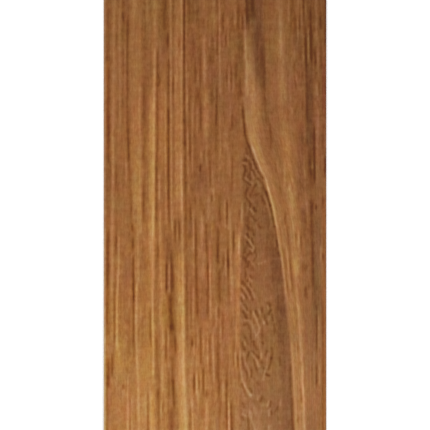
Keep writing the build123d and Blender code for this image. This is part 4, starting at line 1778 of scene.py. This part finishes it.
def back_material(settings, fibres, pores, hue):
    """Pressed composite back: plain brown composite with long brush marks and flecks of wood flour."""
    material, tree, shader = new_material("Pressed composite back")
    place = add_node(tree, "ShaderNodeTexCoord").outputs["Object"]
    marks = placed_marks(
        tree, place, (fibres, FIBRE_SOCKETS, BACK_FIBRES), (pores, PORE_SOCKETS, BACK_PORES)
    )
    colour = shade_ramp(tree, weigh_up(tree, BACK_MIDDLE, marks, BACK_TONE), settings.back, BACK_SHADES)
    turned = grouped(tree, hue, Color=colour, Dull=marks["cloud"], Red=0.0)
    rough = weigh_up(tree, BACK_ROUGHNESS, marks, BACK_ROUGH)
    height = weigh_up(tree, 0.0, marks, BACK_HEIGHT)
    dress(tree, shader, turned, rough, BACK_GLOSS, height, BACK_BUMP)
    return material


class WALLPANEL_OT_sheet(bpy.types.Operator):
    """Make the sheet with its wood-grain face, sawn edges and pressed back"""

    bl_idname = "wallpanel.make_sheet"
    bl_label = "Make the sheet"

    def execute(self, context):
        settings = context.scene.wall_panel_sheet
        name = "wall_panel_sheet"
        sheet = bpy.data.objects.new(name, sheet_mesh(name, settings))
        context.scene.collection.objects.link(sheet)
        groups = (fibre_group(), pore_group(), hue_group())
        sheet.data.materials.append(face_material(settings, *groups))
        sheet.data.materials.append(edge_material(settings))
        sheet.data.materials.append(back_material(settings, *groups))
        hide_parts(NODE)
        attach(sheet, BODY)
        return {"FINISHED"}


# The stage.
FLOOR_SIZE = 60.0
FLOOR_LIFT = 0.25
FLOOR_ROUGHNESS = 0.9
CAMERA_SENSOR = 36.0
SOFTBOX_SIZE = 3.2
SOFTBOX_PLACES = ((-3.4, 0.9, 2.9), (3.4, -0.9, 2.9))


def shown(tree):
    """1 where the camera, a reflection or a clear surface shows a thing, and 0 where it only gives light."""
    path = add_node(tree, "ShaderNodeLightPath").outputs
    seen = calculate(tree, "ADD", path["Is Camera Ray"], path["Is Glossy Ray"])
    return calculate(tree, "ADD", seen, path["Is Transmission Ray"], clamp=True)


def floor_material(colour):
    """Plain pale floor that keeps the sheet's shadow. A little light of its own lifts it to white where it is
    shown."""
    material, tree, shader = new_material("Plain floor")
    shader.inputs["Base Color"].default_value = (*colour, 1.0)
    shader.inputs["Roughness"].default_value = FLOOR_ROUGHNESS
    shader.inputs["Specular IOR Level"].default_value = 0.0
    shader.inputs["Emission Color"].default_value = (1.0, 1.0, 1.0, 1.0)
    lift = calculate(tree, "MULTIPLY", shown(tree), FLOOR_LIFT)
    tree.links.new(lift, shader.inputs["Emission Strength"])
    return material


def make_floor(scene, colour):
    """A wide square at the sheet's underside."""
    half = FLOOR_SIZE / 2
    corners = np.array(((-half, -half), (half, -half), (half, half), (-half, half)))
    mesh = bpy.data.meshes.new("floor")
    mesh.from_pydata([(x, y, SHEET_LOW.z) for x, y in corners.tolist()], [], [(0, 1, 2, 3)])
    mesh.materials.append(floor_material(colour))
    floor = bpy.data.objects.new("floor", mesh)
    scene.collection.objects.link(floor)


def make_softboxes(scene, power):
    """Two square softboxes, one at each long side, aimed at the middle of the sheet."""
    for number, place in enumerate(SOFTBOX_PLACES):
        lamp = bpy.data.lights.new(f"softbox_{number}", "AREA")
        lamp.shape = "SQUARE"
        lamp.size = SOFTBOX_SIZE
        lamp.energy = power
        box = bpy.data.objects.new(lamp.name, lamp)
        box.location = place
        box.rotation_euler = (-box.location).to_track_quat("-Z", "Y").to_euler()
        scene.collection.objects.link(box)


def make_world(scene, strength, floor):
    """Even white light from all round. Where it is shown, it has the tone of the floor far from the lamps."""
    world = bpy.data.worlds.new("Even light")
    world.use_nodes = True
    background = world.node_tree.nodes["Background"]
    background.inputs["Color"].default_value = (1.0, 1.0, 1.0, 1.0)
    backdrop = strength * max(floor) + FLOOR_LIFT
    level = calculate(
        world.node_tree, "MULTIPLY_ADD", shown(world.node_tree), backdrop - strength, strength
    )
    world.node_tree.links.new(level, background.inputs["Strength"])
    scene.world = world


def make_camera(scene, lens):
    """A camera straight above the middle of the face, as far away as its lens needs to see the frame."""
    data = bpy.data.cameras.new("camera")
    data.lens = lens
    data.sensor_width = CAMERA_SENSOR
    data.clip_end = FLOOR_SIZE
    camera = bpy.data.objects.new("camera", data)
    camera.location = (0, 0, SHEET_HIGH.z + FRAME_PIXELS * PIXEL * lens / CAMERA_SENSOR)
    scene.collection.objects.link(camera)
    scene.camera = camera


class WALLPANEL_OT_stage(bpy.types.Operator):
    """Make the floor, the lights and the camera"""

    bl_idname = "wallpanel.make_stage"
    bl_label = "Make the stage"

    def execute(self, context):
        scene = context.scene
        settings = scene.wall_panel_stage
        scene.view_settings.view_transform = "Standard"
        make_floor(scene, tuple(settings.floor))
        make_softboxes(scene, settings.lamp_power)
        make_world(scene, settings.fill, tuple(settings.floor))
        make_camera(scene, settings.lens)
        return {"FINISHED"}


class WALLPANEL_PT_sidebar(bpy.types.Panel):
    """Lists the settings and what can be made from them"""

    bl_idname = "WALLPANEL_PT_sidebar"
    bl_label = "Composite wall panel"
    bl_space_type = "VIEW_3D"
    bl_region_type = "UI"
    bl_category = "Wall panel"

    def draw(self, context):
        parts = (
            (context.scene.wall_panel_sheet, WALLPANEL_OT_sheet),
            (context.scene.wall_panel_stage, WALLPANEL_OT_stage),
        )
        for settings, operator in parts:
            box = self.layout.box()
            for name in settings.__annotations__:
                box.prop(settings, name)
            box.operator(operator.bl_idname)


CLASSES = (
    WallPanelSheetSettings,
    WallPanelStageSettings,
    WALLPANEL_OT_sheet,
    WALLPANEL_OT_stage,
    WALLPANEL_PT_sidebar,
)


def register():
    for cls in CLASSES:
        bpy.utils.register_class(cls)
    bpy.types.Scene.wall_panel_sheet = PointerProperty(type=WallPanelSheetSettings)
    bpy.types.Scene.wall_panel_stage = PointerProperty(type=WallPanelStageSettings)


def unregister():
    del bpy.types.Scene.wall_panel_stage
    del bpy.types.Scene.wall_panel_sheet
    for cls in reversed(CLASSES):
        bpy.utils.unregister_class(cls)


def main():
    """Makes everything."""
    register()
    bpy.ops.wallpanel.make_sheet()
    bpy.ops.wallpanel.make_stage()


if __name__ == "__main__":
    main()
